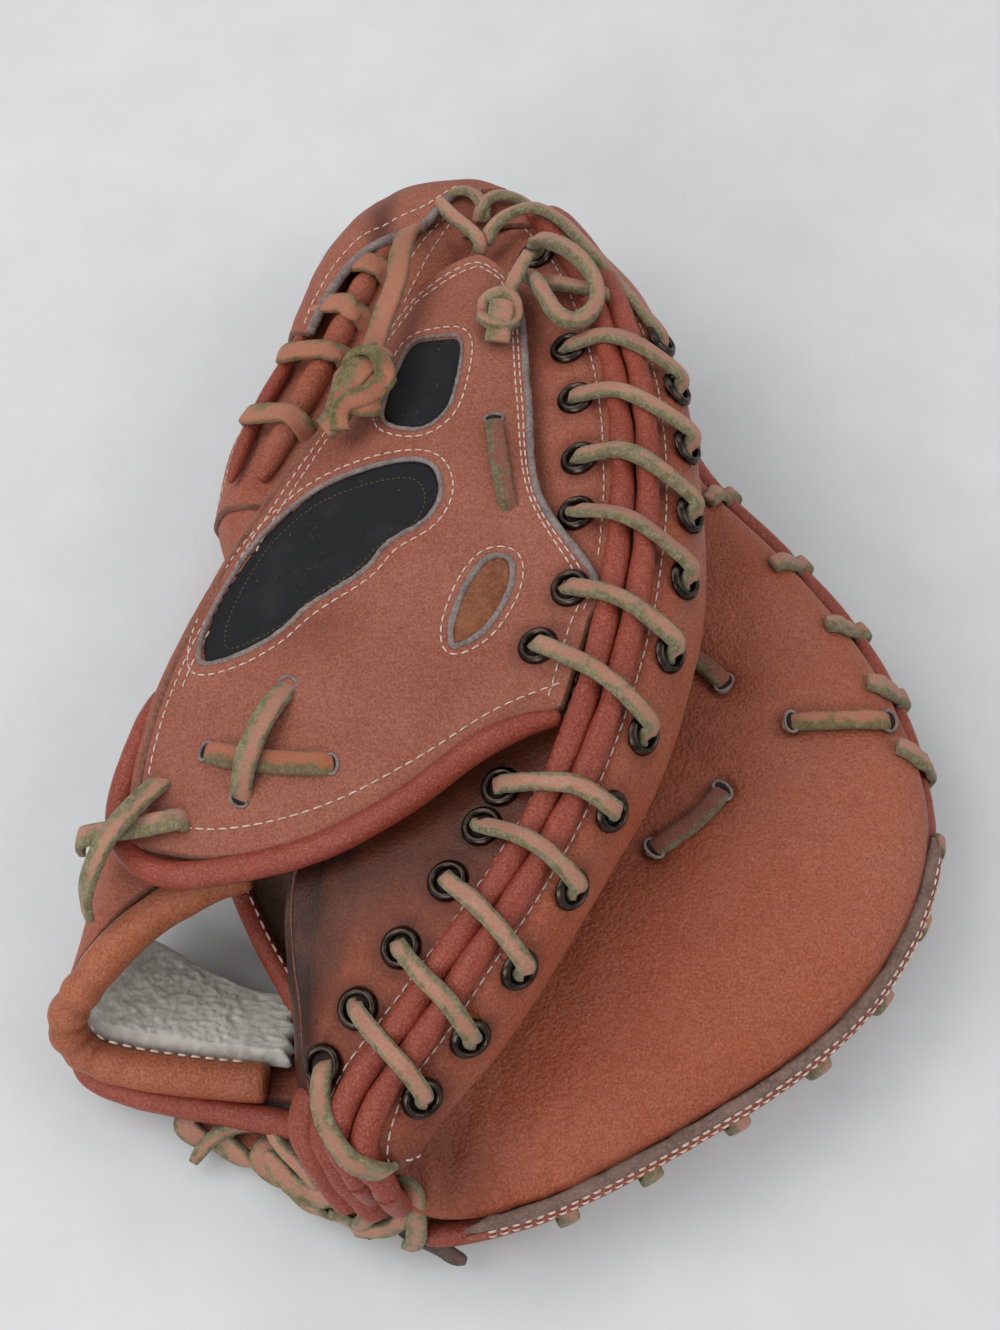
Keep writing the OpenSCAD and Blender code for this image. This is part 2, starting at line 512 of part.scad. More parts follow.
// Flat patch on the panel: its outline is a round loop of points on the panel's net
patch_gap = layer_gap + 0.4;
module panel_patch(outline, thick) {
    edge = [for (i = [0 : 21]) round_loop([for (p = outline) concat(p, 0)], i / 22)];
    hub = mean(edge);
    function at_height(s, h) = [for (p = edge)
        over(panel_net, hub[0] + s * (p[0] - hub[0]), hub[1] + s * (p[1] - hub[1]), h, -1)];
    shares = [0.2, 0.45, 0.7, 1];
    bowl(concat([for (s = shares) at_height(s, patch_gap + thick)],
        [for (s = reversed(shares)) at_height(s, patch_gap)]));
}
module label_patch() {
    color("black") panel_patch([[0.36, 0.08], [0.385, 0.045], [0.44, 0.03], [0.51, 0.03], [0.58, 0.055], [0.62, 0.14],
        [0.62, 0.27], [0.6, 0.4], [0.57, 0.475], [0.525, 0.505], [0.49, 0.475], [0.475, 0.39], [0.445, 0.35],
        [0.425, 0.26], [0.39, 0.2]], 0.8);
}
module stall_patch() {
    color("black") panel_patch([[0.8, 0.245], [0.85, 0.27], [0.825, 0.39], [0.795, 0.505], [0.75, 0.535],
        [0.675, 0.505], [0.65, 0.41], [0.68, 0.3], [0.725, 0.25]], 0.8);
}
module slot_lining() {
    color("saddlebrown") panel_patch([[0.24, 0.64], [0.26, 0.62], [0.3, 0.615], [0.355, 0.635], [0.39, 0.68],
        [0.395, 0.74], [0.375, 0.76], [0.315, 0.735], [0.255, 0.695]], 0.7);
}
// Lace between two points [u, v] of the panel
module panel_stitch(a, b, rise) {
    ts = [0, 0.12, 0.35, 0.65, 0.88, 1];
    qs = [for (t = ts) a + (b - a) * t];
    lace([for (i = [0 : 5]) over(panel_net, qs[i][0], qs[i][1],
            lace_thick / 2 + patch_gap + rise * sin(180 * ts[i]), -1)],
        [for (q = qs) -face_dir(panel_net, q[0], q[1])]);
}
module stall_lace() {
    color("chocolate") panel_stitch([0.62, 0.755], [0.475, 0.795], 0.4);
}
module cross_laces() {
    color("darksalmon") {
        panel_stitch([0.2, 0.145], [0.13, 0.4], 0.2);
        panel_stitch([0.29, 0.27], [0.115, 0.23], 4.4);
    }
}
// Round knot of half lengths x, y, z
module knot(x, y, z) {
    loft([for (a = [-75 : 25 : 75]) [for (b = [0 : 45 : 315])
        [x * cos(a) * cos(b) * 0.8, y * sin(a), z * cos(a) * sin(b) * 0.8]]]);
}
module web_tie_lace() {
    run = sized([[-29, 126, 71], [-30, 116, 75], [-31, 104, 76.5], [-34, 92, 77], [-37, 75, 77.5]]);
    color("salmon") {
        lace([for (t = steps(0, 1, 8)) along(run, t)], [for (i = [0 : 8]) [-0.4, 0, 1]]);
        translate([-38.5 * kx, 66 * ky, 76.3 * kz]) rotate([0, -22, -14]) knot(12, 10, 7);
    }
}
module stall_tie_knot() {
    tail = sized([[1, 91, 79.5], [5, 102, 81], [8, 111, 80.5]]);
    color("darkkhaki") {
        translate([0, 89 * ky, 80.1 * kz]) knot(7, 6.5, 5);
        lace([for (t = steps(0, 1, 4)) along(tail, t)], [for (i = [0 : 4]) [0, 0, 1]], wide = 4.5);
    }
}

// ---- Pieces that cross the fold --------------------------------------------
fold_x = -41 * kx;
// x of the left edge of a layer of the finger half that ends at a share of its stop
function edge_left(share, left) = pocket_mid[0] + share * (left - pocket_mid[0]);
palm_fold_net = [
    [for (p = crease_line) p + [-1.6, 0, 0]],
    [for (p = crease_line) p + [-8, 0, -2.6]],
    [for (p = crease_line) [fold_x, p[1], (p[2] + fold_z) / 2]],
    [for (p = crease_line) [fold_x + 5, p[1], fold_z]],
    [for (p = crease_line) [edge_left(palm_share, palm_left) - layer_gap, p[1], fold_z - 0.3]]];
module palm_crease() {
    color("chocolate") sheet(palm_fold_net, steps(0.01, 0.95, 14), steps(0, 1, 8), 0, palm_leather, 1);
}
lining_fold_net = [
    [for (p = lining_left) p + [-1.5, 0, -1]],
    [for (p = lining_left) p + [-6, 0, -7]],
    [for (p = lining_left) [p[0] - 9, p[1], 38 * kz]],
    [for (p = lining_left) [p[0] - 6, p[1], 24 * kz]],
    [for (p = lining_left) [edge_left(max(pad_s), lining_left_x) - 1.2, p[1], 15]]];
module fold_lining() {
    color("saddlebrown") sheet(lining_fold_net, steps(0.05, 0.68, 14), steps(0, 1, 8), -lining_leather, 0, 1);
}
web_net = [
    sized([[-56, 38, 50.5], [-45, 60, 51.5], [-36, 84, 52.5], [-28, 106, 54], [-20, 126, 55.5], [-13, 141, 56]]),
    sized([[-69, 41, 50.5], [-57, 68, 51.5], [-46, 94, 52.5], [-37, 116, 54], [-28, 134, 55], [-15, 149, 54]]),
    sized([[-80, 44, 44], [-74, 70, 45], [-61, 98, 46], [-49, 121, 46], [-35, 141, 46], [-17, 152, 46]]),
    sized([[-85, 46, 30], [-81, 75, 30], [-67, 103, 30], [-52, 129, 30], [-37, 147, 31], [-18, 155, 31]]),
    sized([[-83, 47, 16.5], [-79, 80, 17], [-68, 108, 18], [-53, 132, 19], [-34, 146, 19.2], [-14, 150, 19]])];
module web_panel() {
    color("peru") sheet(web_net, steps(0, 1, 14), steps(0, 1, 10), 0, back_leather, 1);
}
hood_net = [
    sized([[-62.8, 93, 56], [-57.8, 108.4, 58], [-49.6, 121.6, 60], [-37, 133, 61], [-24, 142, 61], [-12, 153, 60]]),
    sized([[-67, 96, 52], [-62, 117, 53], [-53, 133, 55], [-40, 147, 57], [-25, 155, 57], [-9, 159, 55]]),
    sized([[-70, 100, 42], [-65, 124, 42], [-55, 141, 43], [-41, 156, 44], [-24, 164, 44], [-7, 167, 44]]),
    sized([[-71, 102, 31], [-65, 127, 31], [-54, 146, 31], [-40, 159, 32], [-23, 167, 32], [-6, 169, 32]])];
module web_hood() {
    color("rosybrown") sheet(hood_net, steps(0, 1, 12), steps(0, 1, 6), 0, back_leather, 1);
}
web_binding_d = 5;
module web_bindings() {
    color("firebrick") for (v = [0.24, 0.36])
        tube([for (u = steps(0.05, 0.8, 16))
            over(web_net, u, v, back_leather + layer_gap + web_binding_d / 2, 1)], web_binding_d);
}
module web_laces() {
    over_binding = web_binding_d + layer_gap + lace_thick / 2 + 0.3;
    vs = [0.165, 0.19, 0.24, 0.36, 0.4, 0.415];
    h = [over_binding - 2.6, over_binding - 1, over_binding, over_binding, over_binding - 1.5, 1.5];
    color("salmon") for (u = [0.2, 0.36, 0.5, 0.64])
        lace([for (i = [0 : 5]) over(web_net, u, vs[i], back_leather + layer_gap + h[i], 1)],
            [for (v = vs) face_dir(web_net, u, v)]);
}
strap_near = sized([[-68, -69, 45], [-81, -74, 44.5], [-98, -85, 42], [-110, -98, 38], [-117, -106.5, 29],
    [-113, -112, 20], [-102, -115, 17], [-83, -117, 17], [-64, -119, 17]]);
strap_far = sized([[-74, -44, 42], [-88, -40, 41], [-100, -46, 38], [-108, -59, 32], [-110, -74, 23],
    [-106, -77, 12], [-98, -78, 7], [-83, -87, 6], [-65, -96, 6]]);
strap_net = [strap_near, strap_far];
strap_us = steps(0, 1, 26);
module wrist_strap() {
    color("sienna") sheet(strap_net, strap_us, [0.208, 0.4, 0.7, 1], layer_gap / 2, strap_leather, -1);
}
module strap_fleece() {
    color("gainsboro") sheet(strap_net, strap_us, [0.23, 0.5, 0.97], layer_gap / 2, fleece_thick, 1);
}
module strap_rolled_edge() {
    color("sienna") tube([for (u = strap_us) along(strap_near, u)], strap_roll_d);
}
module strap_binding() {
    path = sized([[-111, -119.2, 11], [-99, -122.8, 11.2], [-77, -127.6, 12.2], [-60, -132, 14.5], [-50.2, -136.4, 19.7]]);
    color("firebrick") tube([for (t = steps(0, 1, 14)) along(path, t)], seam_binding_d);
}
module strap_tie_laces() {
    first = sized([[-113, -64, 49], [-112, -64, 56], [-105, -64, 60.2], [-95, -63, 62], [-86, -62, 64.2]]);
    second = sized([[-92, -52, 63.3], [-98, -60, 65.4], [-104, -69, 64.8], [-109, -79, 57.8], [-110, -83, 48.5]]);
    color("darkkhaki") for (path = [first, second])
        lace([for (t = steps(0, 1, 8)) along(path, t)], [for (i = [0 : 8]) [-0.3, 0, 1]]);
}

finger_back_shell();
finger_lining();
finger_pad();
finger_palm_shell();
finger_rim_strip();
finger_rim_binding();
finger_eyelets();
finger_rim_lacing();
pocket_laces();
finger_wrist_binding();
heel_strip();
heel_lacing();
heel_lace_tail();
thumb_palm_shell();
thumb_pad();
thumb_heel_lining();
thumb_back_band();
thumb_back_panel();
back_edge_binding();
palm_edge_binding();
wrist_opening_binding();
back_eyelets();
palm_eyelets();
thumb_lacing();
tip_lace_loop();
label_patch();
stall_patch();
stall_lace();
cross_laces();
web_tie_lace();
stall_tie_knot();
slot_lining();
palm_crease();
fold_lining();
web_panel();
web_hood();
web_bindings();
web_laces();
wrist_strap();
strap_fleece();
strap_rolled_edge();
strap_binding();
strap_tie_laces();
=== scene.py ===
"""Looks of a folded leather catcher's mitt: leathers, bindings, laces, eyelets, stitching and fleece."""

import math

import bmesh
import bpy
import numpy as np
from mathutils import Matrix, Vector, noise


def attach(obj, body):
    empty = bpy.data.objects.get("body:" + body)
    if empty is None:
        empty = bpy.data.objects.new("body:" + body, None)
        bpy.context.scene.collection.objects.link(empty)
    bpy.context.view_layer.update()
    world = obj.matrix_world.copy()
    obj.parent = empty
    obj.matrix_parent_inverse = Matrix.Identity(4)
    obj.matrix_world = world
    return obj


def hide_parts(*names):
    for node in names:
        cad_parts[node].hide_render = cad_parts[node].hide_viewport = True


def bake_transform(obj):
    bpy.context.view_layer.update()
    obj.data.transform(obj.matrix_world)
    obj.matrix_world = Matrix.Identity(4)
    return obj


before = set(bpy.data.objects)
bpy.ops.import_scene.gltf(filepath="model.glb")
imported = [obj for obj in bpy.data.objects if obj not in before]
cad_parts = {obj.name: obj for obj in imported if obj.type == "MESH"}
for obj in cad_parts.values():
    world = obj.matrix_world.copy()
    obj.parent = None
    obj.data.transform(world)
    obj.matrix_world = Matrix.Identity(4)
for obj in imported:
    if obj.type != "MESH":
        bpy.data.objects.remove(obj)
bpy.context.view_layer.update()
MM = 0.001
FINGER, THUMB = "finger_half", "thumb_half"
rng = np.random.RandomState(7)


# ---- Camera ----------------------------------------------------------------
def make_camera(elevation=64, distance=0.545, target=(0, 0, 0.03)):
    """Looks along +Y and down, from the side of the heel."""
    e = math.radians(elevation)
    back = Vector((0, -math.cos(e), math.sin(e)))
    data = bpy.data.cameras.new("camera")
    data.lens = 50
    data.clip_start = 0.01
    camera = bpy.data.objects.new("camera", data)
    camera.location = Vector(target) + distance * back
    camera.rotation_euler = back.to_track_quat("Z", "Y").to_euler()
    bpy.context.collection.objects.link(camera)
    bpy.context.scene.camera = camera


make_camera()


# ---- Curves and nets (millimetres, as in the construction) -------------------
def bend(a, b, c, d, t):
    """Smooth curve from b to c that also heeds the points a and d."""
    return 0.5 * (2 * b + (c - a) * t + (2 * a - 5 * b + 4 * c - d) * t**2
                  + (3 * b - a - 3 * c + d) * t**3)


def spread(points):
    """Adds the two phantom end points of an open curve."""
    p = np.asarray(points, float)
    return np.concatenate([[2 * p[0] - p[1]], p, [2 * p[-1] - p[-2]]])


def along(points, u):
    """Points of an open curve; u runs from 0 to 1."""
    p = spread(points)
    n = len(p) - 3
    s = np.clip(np.asarray(u, float), 0, 1) * n
    i = np.minimum(np.floor(s).astype(int), n - 1)
    t = (s - i)[..., None]
    return bend(p[i], p[i + 1], p[i + 2], p[i + 3], t)


def round_loop(points, u):
    """Points of a closed curve; u runs from 0 to 1."""
    p = np.asarray(points, float)
    n = len(p)
    s = (np.asarray(u, float) % 1) * n
    i = np.floor(s).astype(int)
    t = (s - i)[..., None]
    return bend(p[(i - 1) % n], p[i % n], p[(i + 1) % n], p[(i + 2) % n], t)


def surf(net, u, v):
    """Point of a net; u runs along its rails and v across them."""
    u, v = np.broadcast_arrays(np.asarray(u, float), np.asarray(v, float))
    rails = spread(np.stack([along(rail, u) for rail in net]))
    n = len(rails) - 3
    s = np.clip(v, 0, 1) * n
    i = np.minimum(np.floor(s).astype(int), n - 1)
    t = (s - i)[..., None]
    pick = [np.take_along_axis(rails, (i + k)[None, ..., None], 0)[0] for k in range(4)]
    return bend(*pick, t)


def unit(a):
    """Vectors of length 1."""
    return a / np.maximum(np.linalg.norm(a, axis=-1, keepdims=True), 1e-9)


def face_dir(net, u, v):
    """Direction square to a net."""
    e = 0.01
    up = np.minimum(np.asarray(u) + e, 1)
    down = np.maximum(np.asarray(u) - e, 0)
    a = surf(net, up, v) - surf(net, down, v)
    b = surf(net, u, np.minimum(np.asarray(v) + e, 1)) - surf(net, u, np.maximum(np.asarray(v) - e, 0))
    return unit(np.cross(a, b))


def over(net, u, v, h, side):
    """Point h mm above (side 1) or below (side -1) a net."""
    return surf(net, u, v) + side * np.asarray(h)[..., None] * face_dir(net, u, v)


def steps(a, b, n):
    return np.linspace(a, b, n + 1)


def resample(points, spacing, closed=False):
    """Even steps along a smooth curve through the points."""
    curve = round_loop if closed else along
    fine = curve(points, steps(0, 1, 40 * len(points)))
    run = np.concatenate([[0], np.cumsum(np.linalg.norm(np.diff(fine, axis=0), axis=1))])
    count = max(3, int(round(run[-1] / spacing)))
    at = steps(0, run[-1], count)
    return np.stack([np.interp(at, run, fine[:, k]) for k in range(3)], 1)


def far_from(points, line):
    """Distance from each point to a line of points."""
    flat = points.reshape(-1, 3)
    out = np.empty(len(flat))
    for i in range(0, len(flat), 4000):
        out[i:i + 4000] = np.sqrt(((flat[i:i + 4000, None] - line[None]) ** 2).sum(2)).min(1)
    return out.reshape(points.shape[:-1])


def bumps(points, wave, seed=0):
    """Smooth noise from -1 to 1 with the given wavelength in mm."""
    flat = points.reshape(-1, 3) / wave
    shift = Vector((seed * 7.3, seed * 3.1, seed * 5.7))
    out = np.array([noise.noise(Vector(p) + shift) for p in flat])
    return out.reshape(points.shape[:-1])


# ---- Meshes ------------------------------------------------------------------
def make_mesh(name, points, faces, materials, face_materials=None, mask=None):
    """Mesh from points in mm.

    mask is a colour for each point: wear and painted shade, dust, and dirt and painted shade on leather;
    edge, face and shade on a lace."""
    mesh = bpy.data.meshes.new(name)
    mesh.from_pydata((np.asarray(points) * MM).tolist(), [], [list(f) for f in faces])
    for m in materials:
        mesh.materials.append(m)
    if face_materials is not None:
        mesh.polygons.foreach_set("material_index", np.asarray(face_materials, np.int32))
    if mask is None:
        mask = np.zeros((len(points), 4))
    layer = mesh.color_attributes.new("mask", "FLOAT_COLOR", "POINT")
    layer.data.foreach_set("color", np.asarray(mask, np.float32).reshape(-1))
    mesh.polygons.foreach_set("use_smooth", np.ones(len(mesh.polygons), bool))
    mesh.validate()
    mesh.update()
    obj = bpy.data.objects.new(name, mesh)
    bpy.context.collection.objects.link(obj)
    return obj


def grid_faces(rows, cols, start=0, wrap_rows=False, wrap_cols=False):
    """Quads between the points of a grid, numbered from start."""
    i, j = np.meshgrid(np.arange(rows if wrap_rows else rows - 1),
                       np.arange(cols if wrap_cols else cols - 1), indexing="ij")
    k, m = (i + 1) % rows, (j + 1) % cols
    return (start + np.stack([i * cols + j, k * cols + j, k * cols + m, i * cols + m], -1)).reshape(-1, 4)


def shell(name, top, low, materials, mask=None, wrap=False):
    """Sheet of leather between two grids of points, with a rounded cut edge.

    materials are those of the face, the back and the edge; wrap closes the rows on themselves."""
    rows, cols = top.shape[:2]
    count = rows * cols
    faces = [grid_faces(rows, cols, 0, wrap)]
    faces.append(grid_faces(rows, cols, count, wrap)[:, ::-1])
    kinds = [np.zeros(len(faces[0])), np.ones(len(faces[1]))]
    if wrap:
        borders = [[(i, 0) for i in range(rows)], [(i, cols - 1) for i in range(rows)]]
        inner = [[(i, 1) for i in range(rows)], [(i, cols - 2) for i in range(rows)]]
    else:
        ring = [(i, 0) for i in range(rows)]
        ring += [(rows - 1, j) for j in range(1, cols)]
        ring += [(i, cols - 1) for i in range(rows - 2, -1, -1)]
        ring += [(0, j) for j in range(cols - 2, 0, -1)]
        borders = [ring]
        inner = [[(min(max(i, 1), rows - 2), min(max(j, 1), cols - 2)) for i, j in ring]]
    points = [top.reshape(-1, 3), low.reshape(-1, 3)]
    edge_mask = []
    start = 2 * count
    for border, near in zip(borders, inner):
        at = np.array([i * cols + j for i, j in border])
        by = np.array([i * cols + j for i, j in near])
        t, l = points[0][at], points[1][at]
        out = unit((t + l) / 2 - (points[0][by] + points[1][by]) / 2)
        thick = np.linalg.norm(t - l, axis=1, keepdims=True)
        mid = (t + l) / 2 + out * thick * 0.38
        n = len(border)
        points.append(mid)
        nxt = (np.arange(n) + 1) % n
        ids = start + np.arange(n)
        faces.append(np.stack([at, ids, ids[nxt], at[nxt]], 1))
        faces.append(np.stack([ids, at + count, at[nxt] + count, ids[nxt]], 1))
        kinds += [np.full(n, 2), np.full(n, 2)]
        edge_mask.append(np.zeros((n, 4)))
        start += n
    if mask is not None:
        mask = np.concatenate([mask.reshape(-1, 4)] * 2 + edge_mask)
    obj = make_mesh(name, np.concatenate(points), np.concatenate(faces), materials,
                    np.concatenate(kinds), mask)
    fix_outward(obj)
    return obj


def fix_outward(obj):
    """Turns every face of a closed mesh outwards."""
    b = bmesh.new()
    b.from_mesh(obj.data)
    bmesh.ops.recalc_face_normals(b, faces=b.faces)
    b.to_mesh(obj.data)
    b.free()


def frames(path, up):
    """Side and lift directions along a path."""
    t = unit(np.gradient(path, axis=0))
    side = unit(np.cross(t, up))
    return side, np.cross(side, t)


def swept(name, path, ups, outline, materials, mask=None):
    """Sweeps an outline (rows, count, 2) along a path; the outline may change on its way."""
    side, lift = frames(path, ups)
    rows, count = outline.shape[:2]
    points = path[:, None] + outline[..., :1] * side[:, None] + outline[..., 1:] * lift[:, None]
    faces = [list(f) for f in grid_faces(rows, count, 0, False, True)]
    faces += [list(range(count))[::-1], list(range((rows - 1) * count, rows * count))]
    obj = make_mesh(name, points.reshape(-1, 3), faces, materials, mask=mask)
    fix_outward(obj)
    return obj


def from_ends(n):
    """Steps from the nearer end of a row of n points."""
    return np.minimum(np.arange(n), np.arange(n)[::-1])


def up_for(path):
    """World up, or world X where the path itself is steep."""
    t = unit(np.gradient(path, axis=0))
    steep = np.abs(t[:, 2]) > 0.9
    return np.where(steep[:, None], [1.0, 0, 0], [0, 0, 1.0])


def tube(name, path, d, materials, swell=None, sides=20, mask=None, seed=0, rough=0.03, broad=1.0):
    """Round piping with slightly uneven leather; swell is a factor for each step."""
    n = len(path)
    a = np.arange(sides) / sides * 2 * math.pi
    radius = d / 2 * (np.ones(n) if swell is None else swell)
    circle = np.stack([np.cos(a), np.sin(a), 0 * a], 1)
    uneven = 1 + rough * bumps(path[:, None] + 3 * circle[None], 6, seed)
    outline = (radius[:, None] * uneven)[..., None] * (circle[:, :2] * [broad, 1])[None]
    ends = from_ends(n)
    outline = outline * np.where(ends == 0, 0.72, np.where(ends == 1, 0.94, 1))[:, None, None]
    return swept(name, path, up_for(path), outline, materials, mask=mask)


LACE_SHAPE = np.array([[-1, -0.5], [-1, 0.5], [-0.93, 0.9], [-0.6, 1.0], [0, 0.94], [0.6, 1.0], [0.93, 0.9],
                       [1, 0.5], [1, -0.5], [0.93, -0.95], [0.4, -1], [-0.4, -1], [-0.93, -0.95]])
LACE_STEP = 0.8


def lengths_along(points):
    """Distance from the first point to each point, along the line."""
    return np.concatenate([[0], np.cumsum(np.linalg.norm(np.diff(points, axis=0), axis=1))])


def lace(name, path, ups, wide, thick, seed, end_pinch=1.0, material=None, both=0.0, edges=1.0):
    """Flat rawhide lace along a smooth path; ups are directions for each control point.

    The fibrous edge colour lies on one side, or on both sides where both is 1; edges scales it."""
    path = np.asarray(path, float)
    ups = unit(np.asarray(ups, float))
    smooth = resample(path, LACE_STEP)
    n = len(smooth)
    run = lengths_along(path)
    up = np.stack([np.interp(steps(0, run[-1], n - 1), run, ups[:, k]) for k in range(3)], 1)
    side, lift = frames(smooth, up)
    up = lift + 0.16 * bumps(smooth, 14, seed + 3)[:, None] * side
    pinch = 1 - (1 - end_pinch) * np.exp(-from_ends(n) / 2.5)
    width = wide / 2 * (1 + 0.1 * bumps(smooth, 9, seed)) * pinch
    height = thick / 2 * (1 + 0.12 * bumps(smooth, 7, seed + 1))
    outline = LACE_SHAPE[None] * np.stack([width, height], 1)[:, None]
    outline[..., 1] -= 0.12 * (outline[..., 0] / (wide / 2)) ** 2 * thick
    place = smooth[:, None] + outline[..., :1] * side[:, None]
    x = LACE_SHAPE[:, 0]
    outline[..., 0] += 0.14 * bumps(place, 1.6, seed + 5) * np.abs(x) ** 4 * np.sign(x)
    mask = np.zeros((n, len(LACE_SHAPE), 4))
    edge_share = (1 - both) * 0.8 * ((x + 1) / 2) ** 2 + both * 0.62 * np.abs(x) ** 1.3
    mask[..., 0] = edges * np.clip(edge_share + 0.55 * np.abs(x) ** 6, 0, 1)[None]
    mask[..., 1] = (LACE_SHAPE[:, 1] > 0)[None]
    mask[..., 2] = rng.rand()
    return swept(name, smooth, up, outline, [material or LACE], mask)


def join(name, objects):
    """One piece out of several."""
    keep = objects[0]
    with bpy.context.temp_override(active_object=keep, selected_objects=objects,
                                   selected_editable_objects=objects):
        bpy.ops.object.join()
    keep.name = name
    keep.data.name = name
    return keep


STITCH_SINK = 0.05


def stitches(name, line, normals, length, gap=0.6, r=0.27, colour=None):
    """Row of thread stitches along a line of points that lies on leather."""
    run = lengths_along(line)
    count = max(1, int(run[-1] / (length + gap)))
    rows, sides = 6, 6
    a = np.arange(sides) / sides * 2 * math.pi
    s = steps(-1, 1, rows - 1)
    body = np.sqrt(np.clip(1 - s**4, 0.06, 1))
    points, faces = [], []

    def at(d, data):
        return np.array([np.interp(d, run, data[:, k]) for k in range(3)])

    for i in range(count):
        mid = (i + 0.5) * run[-1] / count
        half = length / 2 * (1 + 0.12 * (rng.rand() - 0.5))
        p0, p1 = at(mid - half, line), at(mid + half, line)
        up = at(mid, normals)
        up = up / np.linalg.norm(up)
        t = (p1 - p0) / max(np.linalg.norm(p1 - p0), 1e-6)
        side = np.cross(t, up)
        side = side + 0.12 * (rng.rand() - 0.5) * t
        centre = (p0 + p1)[None] / 2 + s[:, None] * (p1 - p0)[None] / 2
        centre = centre + (r * (0.9 - 1.3 * s**4) - STITCH_SINK)[:, None] * up[None]
        around = np.cos(a)[None, :, None] * side + 0.8 * np.sin(a)[None, :, None] * up
        ring = r * body[:, None, None] * around
        start = len(points) * rows * sides
        points.append((centre[:, None] + ring).reshape(-1, 3))
        faces.append(grid_faces(rows, sides, start, False, True))
    return make_mesh(name, np.concatenate(points), np.concatenate(faces), [colour or THREAD])


# ---- Materials ---------------------------------------------------------------
class Shader:
    """Small helper that builds one node material."""

    def __init__(self, name, roughness=0.5, specular=0.5, metallic=0.0, sheen=0.0):
        self.mat = bpy.data.materials.new(name)
        self.mat.use_nodes = True
        self.tree = self.mat.node_tree
        self.shader = self.tree.nodes["Principled BSDF"]
        self.shader.inputs["Roughness"].default_value = roughness
        self.shader.inputs["Specular IOR Level"].default_value = specular
        self.shader.inputs["Metallic"].default_value = metallic
        self.shader.inputs["Sheen Weight"].default_value = sheen
        self.shader.inputs["Sheen Roughness"].default_value = 0.6
        self.place = self.node("ShaderNodeTexCoord").outputs["Object"]
        self.height = None

    def node(self, kind, **settings):
        n = self.tree.nodes.new(kind)
        for key, value in settings.items():
            setattr(n, key, value)
        return n

    def link(self, a, b):
        self.tree.links.new(a, b)

    def noise(self, scale, detail=4, rough=0.55, distortion=0.0, place=None):
        n = self.node("ShaderNodeTexNoise")
        n.inputs["Scale"].default_value = scale
        n.inputs["Detail"].default_value = detail
        n.inputs["Roughness"].default_value = rough
        n.inputs["Distortion"].default_value = distortion
        self.link(place or self.place, n.inputs["Vector"])
        return n.outputs["Fac"]

    def cells(self, scale):
        n = self.node("ShaderNodeTexVoronoi", feature="SMOOTH_F1")
        n.inputs["Scale"].default_value = scale
        self.link(self.place, n.inputs["Vector"])
        return n.outputs["Distance"]

    def remap(self, value, low, high, to_low=0.0, to_high=1.0):
        n = self.node("ShaderNodeMapRange", clamp=True)
        for key, v in zip(("From Min", "From Max", "To Min", "To Max"), (low, high, to_low, to_high)):
            n.inputs[key].default_value = v
        self.link(value, n.inputs["Value"])
        return n.outputs["Result"]

    def math(self, kind, a, b):
        n = self.node("ShaderNodeMath", operation=kind)
        for k, v in enumerate((a, b)):
            if isinstance(v, (int, float)):
                n.inputs[k].default_value = v
            else:
                self.link(v, n.inputs[k])
        return n.outputs[0]

    def times(self, a, b):
        return self.math("MULTIPLY", a, b)

    def centred(self, value, reach):
        """Noise round 0.5 turned into a signed value of the given reach."""
        return self.times(self.math("SUBTRACT", value, 0.5), reach)

    def mix(self, factor, a, b):
        n = self.node("ShaderNodeMix", data_type="RGBA")
        self.link(factor, n.inputs[0])
        for socket, v in ((n.inputs[6], a), (n.inputs[7], b)):
            if isinstance(v, tuple):
                socket.default_value = (*v, 1)
            else:
                self.link(v, socket)
        return n.outputs[2]

    def mask(self):
        n = self.node("ShaderNodeAttribute", attribute_name="mask")
        split = self.node("ShaderNodeSeparateColor")
        self.link(n.outputs["Color"], split.inputs["Color"])
        return split.outputs["Red"], split.outputs["Green"], split.outputs["Blue"]

    def stretched(self, x, y, z):
        n = self.node("ShaderNodeMapping")
        n.inputs["Scale"].default_value = (x, y, z)
        self.link(self.place, n.inputs["Vector"])
        return n.outputs["Vector"]

    def bump(self, value, depth, strength=1.0):
        n = self.node("ShaderNodeBump")
        n.inputs["Strength"].default_value = strength
        n.inputs["Distance"].default_value = depth
        self.link(value, n.inputs["Height"])
        if self.height is not None:
            self.link(self.height, n.inputs["Normal"])
        self.height = n.outputs["Normal"]

    def finish(self, colour, roughness=None):
        self.link(colour, self.shader.inputs["Base Color"])
        if roughness is not None:
            self.link(roughness, self.shader.inputs["Roughness"])
        if self.height is not None:
            self.link(self.height, self.shader.inputs["Normal"])
        return self.mat


def darker(colour, share):
    return tuple(share * c for c in colour)


